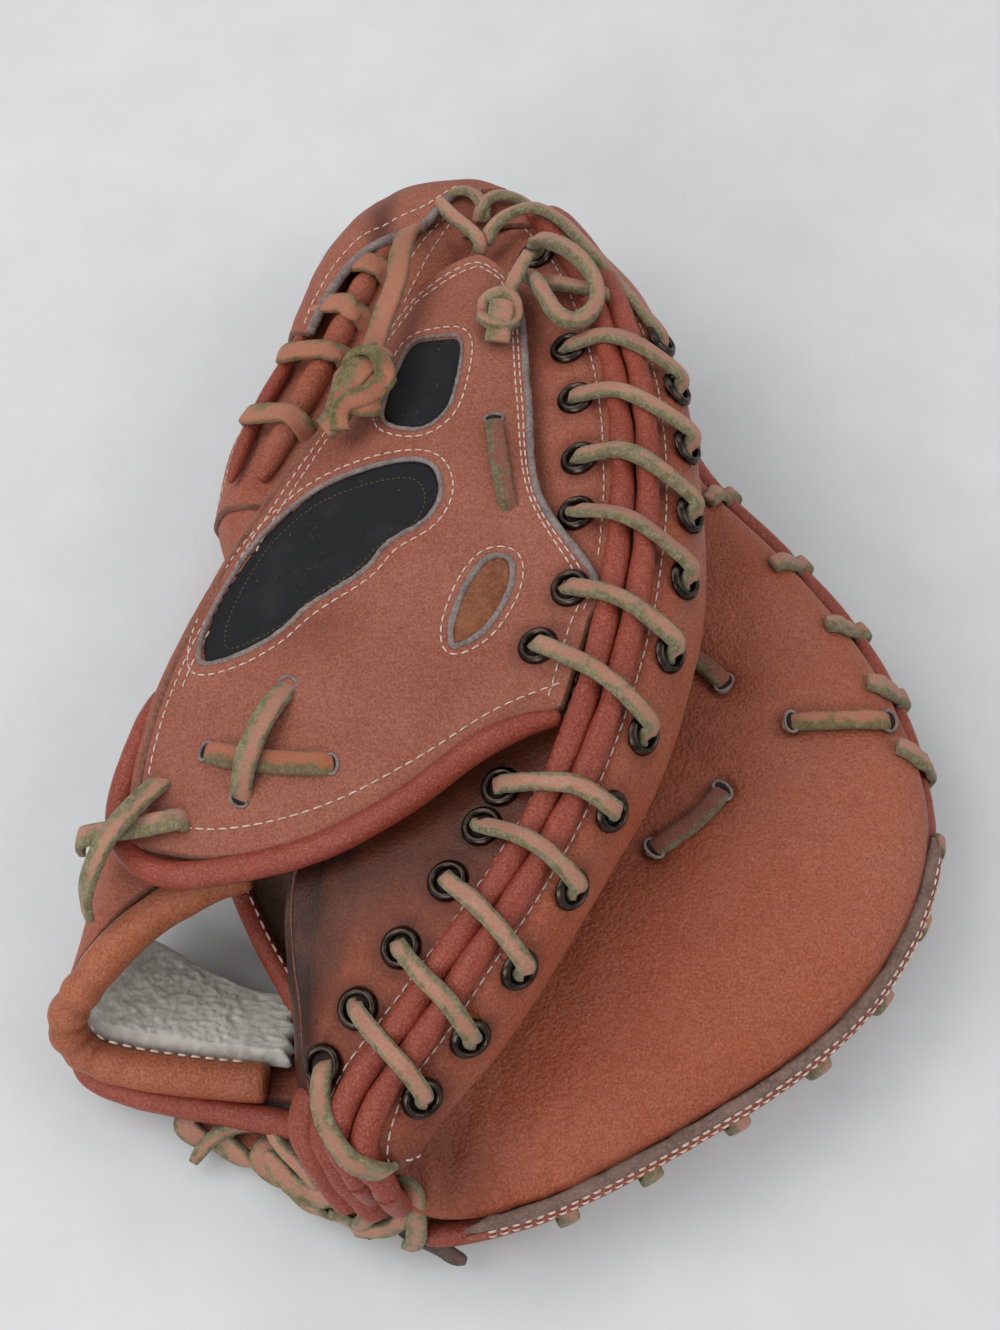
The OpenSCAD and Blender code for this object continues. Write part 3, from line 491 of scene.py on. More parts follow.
def leather(name, base, deep, dusty, dark, pebble=0.25, roughness=(0.42, 0.62), dust=0.5, crackle=0.25):
    """Worn glove leather. deep and dusty are its variation; the mask adds wear, dust and dirt, and painted
    shade drawn in the colours of wear and dirt.
    """
    s = Shader(name, specular=0.26)
    wear_and_shade, chalk, dirt_and_shade = s.mask()
    broad = s.noise(14, 5, 0.6, 0.4)
    blotch = s.noise(55, 6, 0.62)
    fine = s.noise(420, 3, 0.6)
    grain = s.cells(1000)
    pores = s.noise(1500, 3, 0.65)
    colour = s.mix(s.remap(broad, 0.36, 0.66), deep, base)
    dust_spots = s.times(s.remap(blotch, 0.42, 0.72), dust)
    colour = s.mix(dust_spots, colour, dusty)
    colour = s.mix(s.times(chalk, s.remap(blotch, 0.25, 0.6, 0.45, 1.0)), colour, dusty)
    colour = s.mix(s.times(s.remap(fine, 0.4, 0.65), 0.35), colour, deep)
    pale = tuple(1.45 * c + 0.02 for c in dusty)
    colour = s.mix(s.times(s.remap(pores, 0.5, 0.68), 0.35), colour, pale)
    colour = s.mix(s.times(s.remap(pores, 0.5, 0.34), 0.5), colour, darker(deep, 0.6))
    scratches = s.noise(60, 2, 0.5, 0.0, s.stretched(1.0, 7.0, 3.0))
    colour = s.mix(s.times(s.remap(scratches, 0.66, 0.74), 0.3), colour, dusty)
    # Dirt darkens the leather; where a sheet's mask carries painted shade in this channel, it darkens it
    # the same way.
    smudge_and_shade = s.times(dirt_and_shade, s.remap(s.noise(90, 5, 0.7), 0.3, 0.6))
    colour = s.mix(smudge_and_shade, colour, darker(deep, 0.45))
    # Wear darkens towards the dark colour; painted shade from a sheet's mask comes in this channel too.
    colour = s.mix(s.times(wear_and_shade, s.remap(blotch, 0.2, 0.6, 0.75, 1.0)), colour, dark)
    s.bump(grain, 0.0007 * pebble, 1.0)
    s.bump(pores, 0.00025, 1.0)
    creases = s.noise(300, 3, 0.6, 0.6, s.stretched(1.0, 0.6, 1.0))
    s.bump(s.remap(creases, 0.4, 0.6), 0.0004 * crackle, 0.6)
    s.bump(s.noise(90, 3, 0.5), 0.0012, 0.4)
    s.bump(broad, 0.0012, 0.35)
    rough = s.remap(blotch, 0.3, 0.7, *roughness)
    rough = s.math("SUBTRACT", rough, s.times(wear_and_shade, 0.08))
    rough = s.math("ADD", rough, s.times(chalk, 0.14))
    return s.finish(colour, rough)


def suede(name, base, deep, pale, nap=0.00035):
    """Cut edge or flesh side of leather: fibrous and matt."""
    s = Shader(name, roughness=0.95, specular=0.12, sheen=0.1)
    fibre = s.noise(900, 5, 0.7)
    patch = s.noise(120, 4, 0.6)
    colour = s.mix(s.remap(patch, 0.35, 0.65), deep, base)
    colour = s.mix(s.times(s.remap(fibre, 0.45, 0.7), 0.6), colour, pale)
    s.bump(fibre, nap, 0.8)
    s.bump(patch, 0.0006, 0.4)
    return s.finish(colour)


def lace_leather(name, face, worn, edge, edge_pale):
    """Rawhide lace: coloured face, olive-grey fibrous edges and back."""
    s = Shader(name, roughness=0.8, specular=0.25, sheen=0.1)
    across, top, shade = s.mask()
    patch = s.noise(160, 4, 0.6)
    fibre = s.noise(1000, 4, 0.7)
    tone = s.noise(28, 3, 0.5)
    fleck = s.noise(1300, 3, 0.7)
    rubbed = s.times(s.remap(fleck, 0.42, 0.6), s.remap(patch, 0.3, 0.62, 0.25, 0.9))
    skin = s.mix(rubbed, face, worn)
    skin = s.mix(s.times(s.remap(tone, 0.4, 0.65), 0.5), skin, darker(face, 0.66))
    rough_edge = s.mix(s.remap(fleck, 0.4, 0.64), edge, edge_pale)
    dry = s.remap(s.noise(420, 4, 0.7), 0.38, 0.56)
    rough_edge = s.mix(s.times(dry, 0.6), darker(edge, 0.7), rough_edge)
    side = across
    for value, strength in ((patch, 1.4), (fleck, 0.8), (shade, 0.3)):
        side = s.math("ADD", side, s.centred(value, strength))
    side = s.remap(side, 0.2, 0.48)
    under = s.math("SUBTRACT", 1.0, top)
    side = s.math("MAXIMUM", side, under)
    colour = s.mix(side, skin, rough_edge)
    s.bump(fibre, 0.0005, 0.8)
    s.bump(patch, 0.0006, 0.5)
    rough = s.remap(side, 0.0, 1.0, 0.58, 0.95)
    return s.finish(colour, rough)


def plain(name, colour, spread_colour, scale, roughness, specular=0.3, depth=0.0001):
    """Matt material of one colour with a fine second tone."""
    s = Shader(name, roughness=roughness, specular=specular)
    n = s.noise(scale, 4, 0.6)
    s.bump(n, depth, 0.7)
    return s.finish(s.mix(s.remap(n, 0.35, 0.7), colour, spread_colour))


def satin(name, base, thread):
    """Woven satin: fine ribs of two threads."""
    s = Shader(name, roughness=0.68, specular=0.15, sheen=0.02)
    wave = s.node("ShaderNodeTexWave", bands_direction="DIAGONAL")
    wave.inputs["Scale"].default_value = 900
    wave.inputs["Distortion"].default_value = 1.2
    s.link(s.place, wave.inputs["Vector"])
    tone = s.noise(70, 4, 0.6)
    lint = s.noise(700, 3, 0.6)
    colour = s.mix(wave.outputs["Fac"], base, thread)
    colour = s.mix(s.times(s.remap(tone, 0.5, 0.75), 0.12), colour, (0.1, 0.09, 0.08))
    colour = s.mix(s.times(s.remap(lint, 0.68, 0.78), 0.5), colour, (0.3, 0.28, 0.26))
    s.bump(wave.outputs["Fac"], 0.00012, 0.6)
    s.bump(tone, 0.0008, 0.4)
    return s.finish(colour)


def fleece_wool(name):
    """Worn sheepskin: curls of two tones with grime and pale fibre ends."""
    s = Shader(name, roughness=1.0, specular=0.1, sheen=0.5)
    nub = s.cells(420)
    fibre = s.noise(1500, 5, 0.75)
    grime = s.noise(45, 4, 0.6)
    colour = s.mix(s.remap(nub, 0.1, 0.55), (0.66, 0.63, 0.56), (0.52, 0.49, 0.43))
    colour = s.mix(s.remap(grime, 0.35, 0.7, 0.0, 0.4), colour, (0.5, 0.47, 0.4))
    colour = s.mix(s.times(s.remap(fibre, 0.45, 0.7), 0.4), colour, (0.74, 0.72, 0.67))
    s.bump(fibre, 0.0005, 0.8)
    s.bump(nub, 0.0006, 0.5)
    return s.finish(colour)


def eyelet_metal(name):
    """Dark bronzed metal with a few rubbed spots."""
    s = Shader(name, metallic=1.0, roughness=0.25)
    tone = s.noise(260, 4, 0.6)
    rust = s.noise(900, 4, 0.65)
    colour = s.mix(s.remap(tone, 0.35, 0.7), (0.03, 0.022, 0.019), (0.085, 0.06, 0.048))
    colour = s.mix(s.times(s.remap(rust, 0.6, 0.75), 0.5), colour, (0.22, 0.16, 0.12))
    s.bump(rust, 0.00005, 0.4)
    return s.finish(colour, s.remap(tone, 0.3, 0.7, 0.18, 0.4))


PALM = leather("palm_leather", (0.355, 0.086, 0.038), (0.269, 0.056, 0.023), (0.346, 0.128, 0.08),
               (0.067, 0.018, 0.01), pebble=0.5, roughness=(0.34, 0.52), dust=0.35)
BACK = leather("back_leather", (0.32, 0.08, 0.04), (0.254, 0.056, 0.026), (0.357, 0.136, 0.091),
               (0.075, 0.022, 0.014), pebble=0.2, roughness=(0.42, 0.6), dust=0.5)
DUSTY = leather("dusty_leather", (0.28, 0.08, 0.047), (0.228, 0.058, 0.033), (0.332, 0.124, 0.081),
                (0.085, 0.024, 0.015), pebble=0.14, roughness=(0.5, 0.66), dust=0.65, crackle=0.15)
LINING = leather("lining_leather", (0.28, 0.06, 0.02), (0.19, 0.034, 0.012), (0.3, 0.095, 0.046),
                 (0.02, 0.008, 0.005), pebble=0.12, roughness=(0.3, 0.46), dust=0.2)
PIPING = leather("piping_leather", (0.29, 0.055, 0.031), (0.21, 0.034, 0.02), (0.35, 0.105, 0.066),
                 (0.085, 0.018, 0.012), pebble=0.12, roughness=(0.28, 0.42), dust=0.28, crackle=0.1)
ROLL = leather("roll_leather", (0.36, 0.095, 0.036), (0.26, 0.056, 0.02), (0.38, 0.15, 0.085),
               (0.07, 0.02, 0.012), pebble=0.25, roughness=(0.27, 0.4), dust=0.25)
RAW = suede("raw_edge", (0.2, 0.075, 0.045), (0.11, 0.038, 0.024), (0.3, 0.16, 0.11))
FLESH = suede("flesh_side", (0.34, 0.19, 0.12), (0.24, 0.12, 0.07), (0.46, 0.32, 0.23))
SLOT_SUEDE = suede("slot_suede", (0.24, 0.08, 0.035), (0.15, 0.045, 0.02), (0.36, 0.16, 0.08), nap=0.0006)
LACE = lace_leather("rawhide_lace", (0.4, 0.16, 0.1), (0.39, 0.28, 0.2), (0.19, 0.155, 0.075),
                    (0.38, 0.33, 0.21))
TAN_LACE = lace_leather("tan_lace", (0.35, 0.1, 0.042), (0.36, 0.15, 0.085), (0.16, 0.11, 0.05),
                        (0.27, 0.2, 0.11))
WEB_LACE = lace_leather("web_lace", (0.39, 0.13, 0.068), (0.38, 0.2, 0.125), (0.16, 0.125, 0.045),
                        (0.31, 0.25, 0.14))
DARK_LACE = lace_leather("dark_lace", (0.2, 0.055, 0.032), (0.25, 0.1, 0.065), (0.14, 0.1, 0.05),
                         (0.27, 0.22, 0.13))
OLD_LACE = lace_leather("old_lace", (0.1, 0.05, 0.04), (0.16, 0.11, 0.09), (0.06, 0.045, 0.035),
                        (0.2, 0.17, 0.14))
THREAD = plain("thread", (0.5, 0.33, 0.27), (0.68, 0.56, 0.5), 900, 0.8)
SATIN = satin("black_satin", (0.006, 0.006, 0.007), (0.018, 0.018, 0.02))
GOLD = plain("gold_thread", (0.36, 0.22, 0.03), (0.52, 0.36, 0.08), 1200, 0.55, depth=0.0003)
FELT = suede("felt_edge", (0.235, 0.175, 0.16), (0.13, 0.095, 0.085), (0.38, 0.32, 0.3), nap=0.0005)
STRIP_FELT = suede("strip_felt", (0.2, 0.125, 0.1), (0.12, 0.07, 0.055), (0.31, 0.22, 0.185), nap=0.0006)
WOOL = fleece_wool("sheepskin")
METAL = eyelet_metal("eyelet_metal")
# Near-black stand-in for the shade inside eyelet holes, lace slits and behind the heel lining: painted
# shade.
PAINTED_SHADE = plain("painted_hole_shade", (0.012, 0.007, 0.005), (0.03, 0.018, 0.012), 500, 0.9)
PADDING = suede("wool_felt", (0.3, 0.24, 0.17), (0.22, 0.17, 0.12), (0.4, 0.33, 0.25))


# ---- Sizes and rails of the construction ---------------------------------------
# Thicknesses and diameters (mm), then rails of points from the heel to the web
BACK_T, PALM_T, LINING_T, GAP = 2.6, 2.6, 1.6, 0.3
SEAM_D, WRIST_D, RIM_D, ROLL_D = 6.2, 8.6, 6.6, 11.0
SEAM_HALF = SEAM_D / 2 + 0.25
LACE_T = 2.2
EYELET_D, EYELET_BORE, EYELET_H = 11.2, 7.2, 1.6
SEAT = GAP + 0.5
LAST = 13

lining_left = [[-42, -141, 46], [-48, -131, 49], [-50, -122, 53], [-51, -110, 57], [-53, -97, 60],
               [-54, -83, 61], [-53, -66, 61], [-52, -40, 60], [-52, -8, 58], [-46, 28, 57],
               [-38, 66, 56], [-25, 104, 54], [-16, 134, 50], [-10, 145, 47]]
lining_mid = [[-40, -144, 49], [-47, -134, 52], [-47, -125, 57], [-44, -112, 62], [-39, -98, 66],
              [-34, -83, 70], [-27, -64, 72], [-22, -38, 71], [-17, -6, 70], [-14, 30, 68],
              [-12, 68, 66], [-8, 106, 61], [-6, 136, 55], [-5, 148, 50]]
back_hole_line = [[-38, -147, 51], [-45, -137, 54], [-44, -126, 58], [-35, -113, 64], [-24, -99, 70],
                  [-12, -83, 75], [0, -62, 79], [9, -36, 83], [18, -5, 86], [23, 30, 84],
                  [22, 70, 78], [16, 108, 70], [5, 138, 60], [0, 149, 52]]
seam_line = [[-33, -151, 50], [-37, -145, 56], [-33, -134, 62], [-21, -119, 70], [-9, -103, 78],
             [4, -85, 83], [16, -64, 87], [26, -38, 90], [33, -8, 91], [37, 27, 89],
             [36, 66, 83], [29, 104, 74], [17, 137, 62], [8, 151, 52]]
palm_hole_line = [[-28, -151, 48], [-25, -148, 54], [-20, -134, 60], [-8, -121, 68], [4, -106, 76],
                  [17, -87, 81], [29, -64, 85], [39, -38, 87], [47, -10, 88], [51, 27, 86],
                  [49, 66, 80], [40, 104, 71], [26, 134, 59], [15, 149, 50]]
edge_line = [[-26, -150, 45], [-20, -145, 47], [-12, -135, 51], [1, -121, 56], [15, -100, 61],
             [29, -77, 64], [41, -56, 67], [50, -31, 69], [56, -3, 70], [57, 34, 68],
             [53, 74, 64], [44, 109, 57], [30, 136, 49], [18, 147, 45]]
under_line = [[-30, -147, 43], [-25, -141, 42], [-18, -132, 44], [-8, -116, 46], [5, -96, 48],
              [18, -74, 50], [29, -54, 51], [37, -30, 52], [42, -3, 52], [42, 33, 51],
              [38, 72, 49], [31, 106, 46], [20, 132, 43], [12, 143, 42]]
crease_line = [[-34, -143, 43], [-34, -136, 43], [-32, -124, 45], [-30, -106, 47], [-28, -84, 49],
               [-27, -62, 50], [-26, -40, 51], [-26, -18, 52], [-26, 4, 52], [-26, 32, 51],
               [-26, 66, 49], [-25, 98, 47], [-21, 126, 44], [-12, 140, 43]]
back_net = [lining_left, lining_mid, back_hole_line, seam_line]
palm_net = [seam_line, palm_hole_line, edge_line, under_line, crease_line]
seam_net = [back_hole_line, seam_line, palm_hole_line]
STALL_START, STALL_DROP = 7, BACK_T + GAP + 0.6


def dropped(rail):
    """The lining drops under the back leather where the thumb stall starts."""
    share = [0] * (STALL_START - 1) + [0.6] + [1] * (LAST + 1 - STALL_START)
    return [[p[0], p[1], p[2] - f * STALL_DROP] for p, f in zip(rail, share)]


lining_net = [dropped(rail) for rail in back_net]
panel_rows = [
    [[-97, -66, 57], [-74, -71.8, 63.2], [-49, -69, 70.3], [-26, -60, 77.5], [-4, -46.6, 83.3],
     [15.5, -40.4, 89]],
    [[-97, -46, 60], [-71, -49, 68], [-44, -45, 76], [-19, -34, 81], [4, -22, 83.5], [22.5, -17, 90]],
    [[-92, -20, 60], [-65, -22, 70], [-38, -15, 78], [-13, -5, 82.5], [8, -4, 84], [25.4, -4, 90]],
    [[-81, 9, 60], [-56, 11, 70], [-28, 20, 78], [-9, 26, 82], [2, 27, 83.5], [10.5, 26, 84.5]],
    [[-65, 42, 60], [-43, 49, 70], [-22, 56, 76], [-9, 59, 79], [0, 61, 80], [8, 62, 79.5]],
    [[-49, 71, 59], [-33, 80, 68], [-17, 88, 74], [-7, 93, 76], [0, 95, 75], [6, 96, 74.5]],
    [[-32, 106, 60], [-24, 112, 65], [-16, 116, 69], [-9, 118, 71], [-3, 119, 71.5], [1, 119, 71]]]
panel_net = [[row[c] for row in panel_rows] for c in range(6)]
panel_turn = [[-100, -61, 53], [-99.5, -45, 53], [-95, -20, 52], [-84.5, 8, 54], [-67.5, 40, 57.5],
              [-51.5, 69, 56.5], [-34, 104, 57.5]]
panel_full_net = [panel_turn] + panel_net
back_stations = [1, 2, 3, 4, 4.7, 5.16, 6.45, 7.15, 7.7, 8.2, 8.75, 9.25, 10.4]
palm_stations = [1, 1, 2, 3, 4, 4.85, 5.65, 6.5, 7.2, 7.75, 8.35, 8.9, 9.4]
panel_holes = [[0.15, 0.87], [0.32, 0.92]]

pocket_mid = np.array([20.0, -10.0])
rim = [[-20, -161, 22], [5, -158, 26], [28, -149, 29], [53, -136, 31], [78, -121, 33], [99, -103, 34],
       [114, -81, 34], [122, -57, 34], [121, -33, 33], [114, -9, 32], [102, 14, 31], [84, 38, 32],
       [62, 63, 34], [52, 85, 35], [43, 108, 34], [31, 129, 33], [13, 143, 31], [-8, 149, 30],
       [-33, 148, 30], [-54, 135, 30], [-70, 112, 29], [-80, 82, 28], [-85, 48, 27], [-87, 14, 26],
       [-86, -20, 25], [-81, -50, 24], [-70, -76, 22], [-58, -98, 20], [-51, -122, 19], [-38, -148, 19]]
OPEN_END = 16 / 30
FLAT_SHARE, RIM_DROP, PALM_SHARE, PALM_LEFT, LINING_LEFT = 0.45, 14.4, 0.98, -27.0, -42.0
FOLD_Z, ROLL_H, ROLL_AT, FLOOR_Z, FINGER_SPACE = 36.0, 9.0, 0.84, 34.0, 11.0


def station(k):
    """Share of the rails' length at station k; station 0 lies one rail point in."""
    return (np.asarray(k, float) + 1) / LAST


SEAM_REACH = 2 * SEAM_HALF + GAP - 0.9


def back_stop(u):
    """Where the back leather stops, short of the seam."""
    return 1 - SEAM_REACH / np.linalg.norm(along(seam_line, u) - along(back_hole_line, u), axis=-1) / 3


def palm_start(u):
    """Where the palm leather starts, past the seam."""
    return SEAM_REACH / np.linalg.norm(along(seam_line, u) - along(palm_hole_line, u), axis=-1) / 4


def seam_point(u, offset, h):
    """Point of the seam, offset mm across it towards the palm and h mm above it."""
    span = np.linalg.norm(along(palm_hole_line, u) - along(back_hole_line, u), axis=-1)
    return over(seam_net, u, 0.5 + offset / span, h, -1)


# ---- Finger half: plan and heights ---------------------------------------------
UP = np.array([0, 0, 1.0])


def disc_point(u, s):
    """Plan point between the middle of the pocket (s = 0) and the rim (s = 1)."""
    p = round_loop(rim, u)[..., :2]
    return pocket_mid + np.asarray(s)[..., None] * (p - pocket_mid)


def reach(u):
    """Distance in plan from the middle of the pocket to the rim."""
    return np.linalg.norm(round_loop(rim, u)[..., :2] - pocket_mid, axis=-1)


def stop_share(u, left):
    """Share of the way to the rim at which a sheet ends along the line x = left."""
    x = round_loop(rim, u)[..., 0]
    return np.where(x < left, (left - pocket_mid[0]) / np.where(x < left, x - pocket_mid[0], -1), 1)


def open_rim(u):
    """1 at the open rim, 0 along the fold."""
    return np.clip((round_loop(rim, u)[..., 0] - PALM_LEFT) / 22, 0, 1)


def back_z(u, s):
    """Height of the outer face of the back leather."""
    return (round_loop(rim, u)[..., 2] - RIM_DROP) * np.maximum(0, (s - FLAT_SHARE) / (1 - FLAT_SHARE)) ** 2


def palm_z(u, s):
    """Height of the palm leather: the floor of the pocket, its roll and the rim."""
    edge = FOLD_Z + (round_loop(rim, u)[..., 2] - FOLD_Z) * open_rim(u)
    crest = edge + ROLL_H * open_rim(u)
    t = np.minimum(s / ROLL_AT, 1)
    ease = t * t * (3 - 2 * t)
    fall = np.maximum(0, (s - ROLL_AT) / (1 - ROLL_AT))
    return FLOOR_Z + (crest - FLOOR_Z) * ease - (crest - edge) * (1 - np.sqrt(np.maximum(0, 1 - fall**2)))


def space_z(u, s):
    """Height of the top of the space for the fingers."""
    return back_z(u, s) + BACK_T + GAP + FINGER_SPACE * np.maximum(0, 1 - (s / 0.9) ** 4)


def palm_at(u, s, lift=0.0):
    """Point on the palm leather of the finger half."""
    u, s = np.broadcast_arrays(np.asarray(u, float), np.asarray(s, float))
    plan = disc_point(u, s * PALM_SHARE * stop_share(u, PALM_LEFT))
    return np.concatenate([plan, (palm_z(u, s) + lift)[..., None]], -1)


def rim_out(u):
    """Direction in plan that points out of the rim."""
    t = round_loop(rim, np.asarray(u) + 0.004) - round_loop(rim, np.asarray(u) - 0.004)
    return unit(np.stack([t[..., 1], -t[..., 0], 0 * t[..., 0]], -1))


def rim_point(u, out, down):
    """Point some mm out of the rim and down from it."""
    out, down = np.asarray(out)[..., None], np.asarray(down)[..., None]
    return round_loop(rim, u) + out * rim_out(u) - down * UP


def under_back(u, inward, gap):
    """Point under the back leather, some mm in from the rim."""
    s = 1 - inward / reach(u)
    return np.append(disc_point(u, s), back_z(u, s) - gap)


def under_back_dir(u, inward):
    a = under_back(u, inward - 1, 0) - under_back(u, inward + 1, 0)
    b = under_back(u + 0.002, inward, 0) - under_back(u - 0.002, inward, 0)
    c = unit(np.cross(a, b))
    return -c if c[2] > 0 else c


def over_palm(u, inward, gap):
    """Point over the palm leather, some mm in from the rim."""
    return palm_at(u, (1 - inward / reach(u)) / PALM_SHARE, gap)


# ---- Wear, dirt and painted shade ------------------------------------------------
def bell(x, centre, width):
    """Soft bump: 1 at the centre and falling off on both sides."""
    return np.exp(-((x - centre) / width) ** 2)


def spots(points, centres):
    """Soft spots, the strongest at each point; each is (x, y, z, radius, strength) in mm."""
    out = np.zeros(points.shape[:-1])
    for x, y, z, radius, strength in centres:
        d = np.linalg.norm(points - np.array([x, y, z]), axis=-1)
        out = np.maximum(out, strength * bell(d, 0, radius))
    return out


def hole_dirt(points, seats):
    """Dark ring on the leather round each eyelet."""
    return bell(far_from(points, np.array(seats)), 6.5, 2.2)


def mask_of(points, wear_and_shade=0, dust=0, dirt_and_shade=0):
    mask = np.zeros(points.shape[:-1] + (4,))
    for k, value in enumerate((wear_and_shade, dust, dirt_and_shade)):
        mask[..., k] = np.clip(value, 0, 1)
    return mask


def pressed(points, line_or_dots, depth, width):
    """How far leather is pushed in around stitches, holes and knots."""
    return depth * bell(far_from(points, np.asarray(line_or_dots, float)), 0, width)


# ---- Eyelets -----------------------------------------------------------------------
def eyelet(seat, direction):
    """Domed flange, rolled lip and barrel; a near-black disc of painted shade closes the hole."""
    r, bore = EYELET_D / 2, EYELET_BORE / 2
    profile = [(bore - 0.35, -0.35), (bore - 0.3, 0.6), (bore + 0.05, 1.25), (bore + 0.5, EYELET_H),
               (bore + 1.0, EYELET_H - 0.1), (r - 0.5, 0.95), (r - 0.1, 0.45), (r, 0.05), (r - 0.1, -0.2)]
    turns = 40
    a = np.arange(turns) / turns * 2 * math.pi
    z = unit(np.asarray(direction, float))
    x = unit(np.cross([0.3, 1, 0.2], z))
    y = np.cross(z, x)
    ring = np.cos(a)[:, None] * x + np.sin(a)[:, None] * y
    points = [seat + q * ring + h * z for q, h in profile]
    faces = [list(f) for f in grid_faces(len(profile), turns, 0, False, True)]
    kinds = [0] * len(faces)
    hole = seat + (bore - 0.34) * ring - 0.3 * z
    points.append(hole)
    start = len(profile) * turns
    faces.append(list(range(start, start + turns)))
    kinds.append(1)
    return np.concatenate(points), faces, kinds


def eyelet_set(name, seats):
    points, faces, kinds, start = [], [], [], 0
    for seat, direction in seats:
        p, f, k = eyelet(seat, direction)
        points.append(p)
        faces += [[i + start for i in face] for face in f]
        kinds += k
        start += len(p)
    obj = make_mesh(name, np.concatenate(points), faces, [METAL, PAINTED_SHADE], kinds)
    fix_outward(obj)
    return obj


def back_hole(i):
    """Seat and direction of an eyelet of the back row; two of them go through the panel."""
    u = station(back_stations[i])
    if 6 <= i < 8:
        p, q = panel_holes[i - 6]
        return over(panel_net, p, q, SEAT, -1), -face_dir(panel_net, p, q)
    net, v = (lining_net, 0.65) if i < 6 else (back_net, 0.655)
    return over(net, u, v, SEAT, -1), -face_dir(net, u, v)


def palm_hole(i):
    """Seat and direction of an eyelet of the palm row."""
    u = station(palm_stations[i])
    return over(palm_net, u, 0.258, SEAT, -1), -face_dir(palm_net, u, 0.258)


# Number of laces over the rim, and how far in from it their eyelets sit (mm)
RIM_WRAPS, RIM_HOLE_IN = 15, 10


def rim_hole(i):
    """Seat and direction of an eyelet under the rim."""
    return under_back(wrap_u(i), RIM_HOLE_IN, SEAT), under_back_dir(wrap_u(i), RIM_HOLE_IN)


def wrap_u(i):
    """Where wrap i lies along the rim."""
    return 0.02 + (OPEN_END - 0.04) * i / (RIM_WRAPS + 1)


# ---- Leather sheets on the nets -------------------------------------------------
# Share of a dent in the face that shows on the back too, and lengths of stitches (mm)
DENT_THROUGH = 0.6
SEAM_STITCH, PANEL_STITCH, PATCH_STITCH, WEB_STITCH = 2.9, 2.7, 2.5, 2.6


def sheet_grid(net, us, v0, v1, cols, side, high, low, lift):
    """Face and back points of a sheet; lift(points) is added to the face.

    v0 and v1 are its borders on the net, high and low its faces above the net."""
    u = np.repeat(us[:, None], cols + 1, 1)
    v0, v1 = np.broadcast_to(v0, us.shape), np.broadcast_to(v1, us.shape)
    v = v0[:, None] + (v1 - v0)[:, None] * steps(0, 1, cols)[None]
    base = over(net, u, v, high, side)
    out = side * face_dir(net, u, v)
    raised = lift(base)[..., None]
    return base + raised * out, over(net, u, v, low, side) + DENT_THROUGH * np.minimum(raised, 0) * out


def grid_of(us, vs):
    """Two grids with the u and the v of each point."""
    return np.meshgrid(us, vs, indexing="ij")


def grid_dirs(top, side):
    """Direction square to a grid of points."""
    a, b = np.gradient(top, axis=0), np.gradient(top, axis=1)
    return side * unit(np.cross(a, b))


def settle(line, top, side, h=0.0):
    """Moves the points of a line along the leather's own direction until they lie on it."""
    flat, dirs = top.reshape(-1, 3), grid_dirs(top, side).reshape(-1, 3)
    line = np.asarray(line, float)
    near = np.array([((flat - p) ** 2).sum(1).argmin() for p in line])
    n = dirs[near]
    pad = np.pad(n, ((2, 2), (0, 0)), mode="edge")
    n = unit(sum(pad[k:k + len(n)] for k in range(5)))
    return line + (((flat[near] - line) * n).sum(1) + h)[:, None] * n, n


def sewn(name, line, top, side, length, closed=False, h=0.0, **how):
    """A row of stitches laid on a leather grid along a smooth curve."""
    line, n = settle(resample(line, 1.2, closed), top, side, h)
    return stitches(name, line, n, length, **how)


def around_holes(points, seats, deep=2.2):
    """Leather dips into each eyelet and swells a little round it."""
    d = far_from(points, np.asarray(seats, float))
    return -deep * np.exp(-(d / 3.0) ** 6) + 0.5 * bell(d, 6.6, 2.4)


def inside_of(points, loop):
    """Signed distance in plan to a closed outline; negative inside."""
    x, y = points[..., 0], points[..., 1]
    hit = np.zeros(x.shape, bool)
    for a, b in zip(loop, np.roll(loop, -1, 0)):
        cross = (a[1] > y) != (b[1] > y)
        with np.errstate(divide="ignore", invalid="ignore"):
            at = (b[0] - a[0]) * (y - a[1]) / (b[1] - a[1]) + a[0]
        hit ^= cross & (x < at)
    d = far_from(np.stack([x, y, 0 * x], -1), np.concatenate([loop[:, :2], 0 * loop[:, :1]], 1))
    return np.where(hit, -d, d)


def flat_ring(name, loop, dirs, wide, thick, material, closed, seed):
    """Thin raw edge of leather that follows an outline."""
    n, sides = len(loop), 10
    t = unit(np.roll(loop, -1, 0) - np.roll(loop, 1, 0) if closed else np.gradient(loop, axis=0))
    side = unit(np.cross(t, dirs))
    a = (np.arange(sides) / sides * 2 * math.pi)[None, :, None]
    uneven = 1 + 0.22 * bumps(loop, 3.5, seed)
    ring = loop[:, None] + (0.5 * wide * uneven)[:, None, None] * np.cos(a) * side[:, None]
    ring = ring + 0.5 * thick * np.sin(a) * dirs[:, None]
    faces = [list(f) for f in grid_faces(n, sides, 0, closed, True)]
    if not closed:
        faces += [list(range(sides)), list(range((n - 1) * sides, n * sides))]
    obj = make_mesh(name, ring.reshape(-1, 3), faces, [material])
    fix_outward(obj)
    return obj


PATCH_T = 0.5


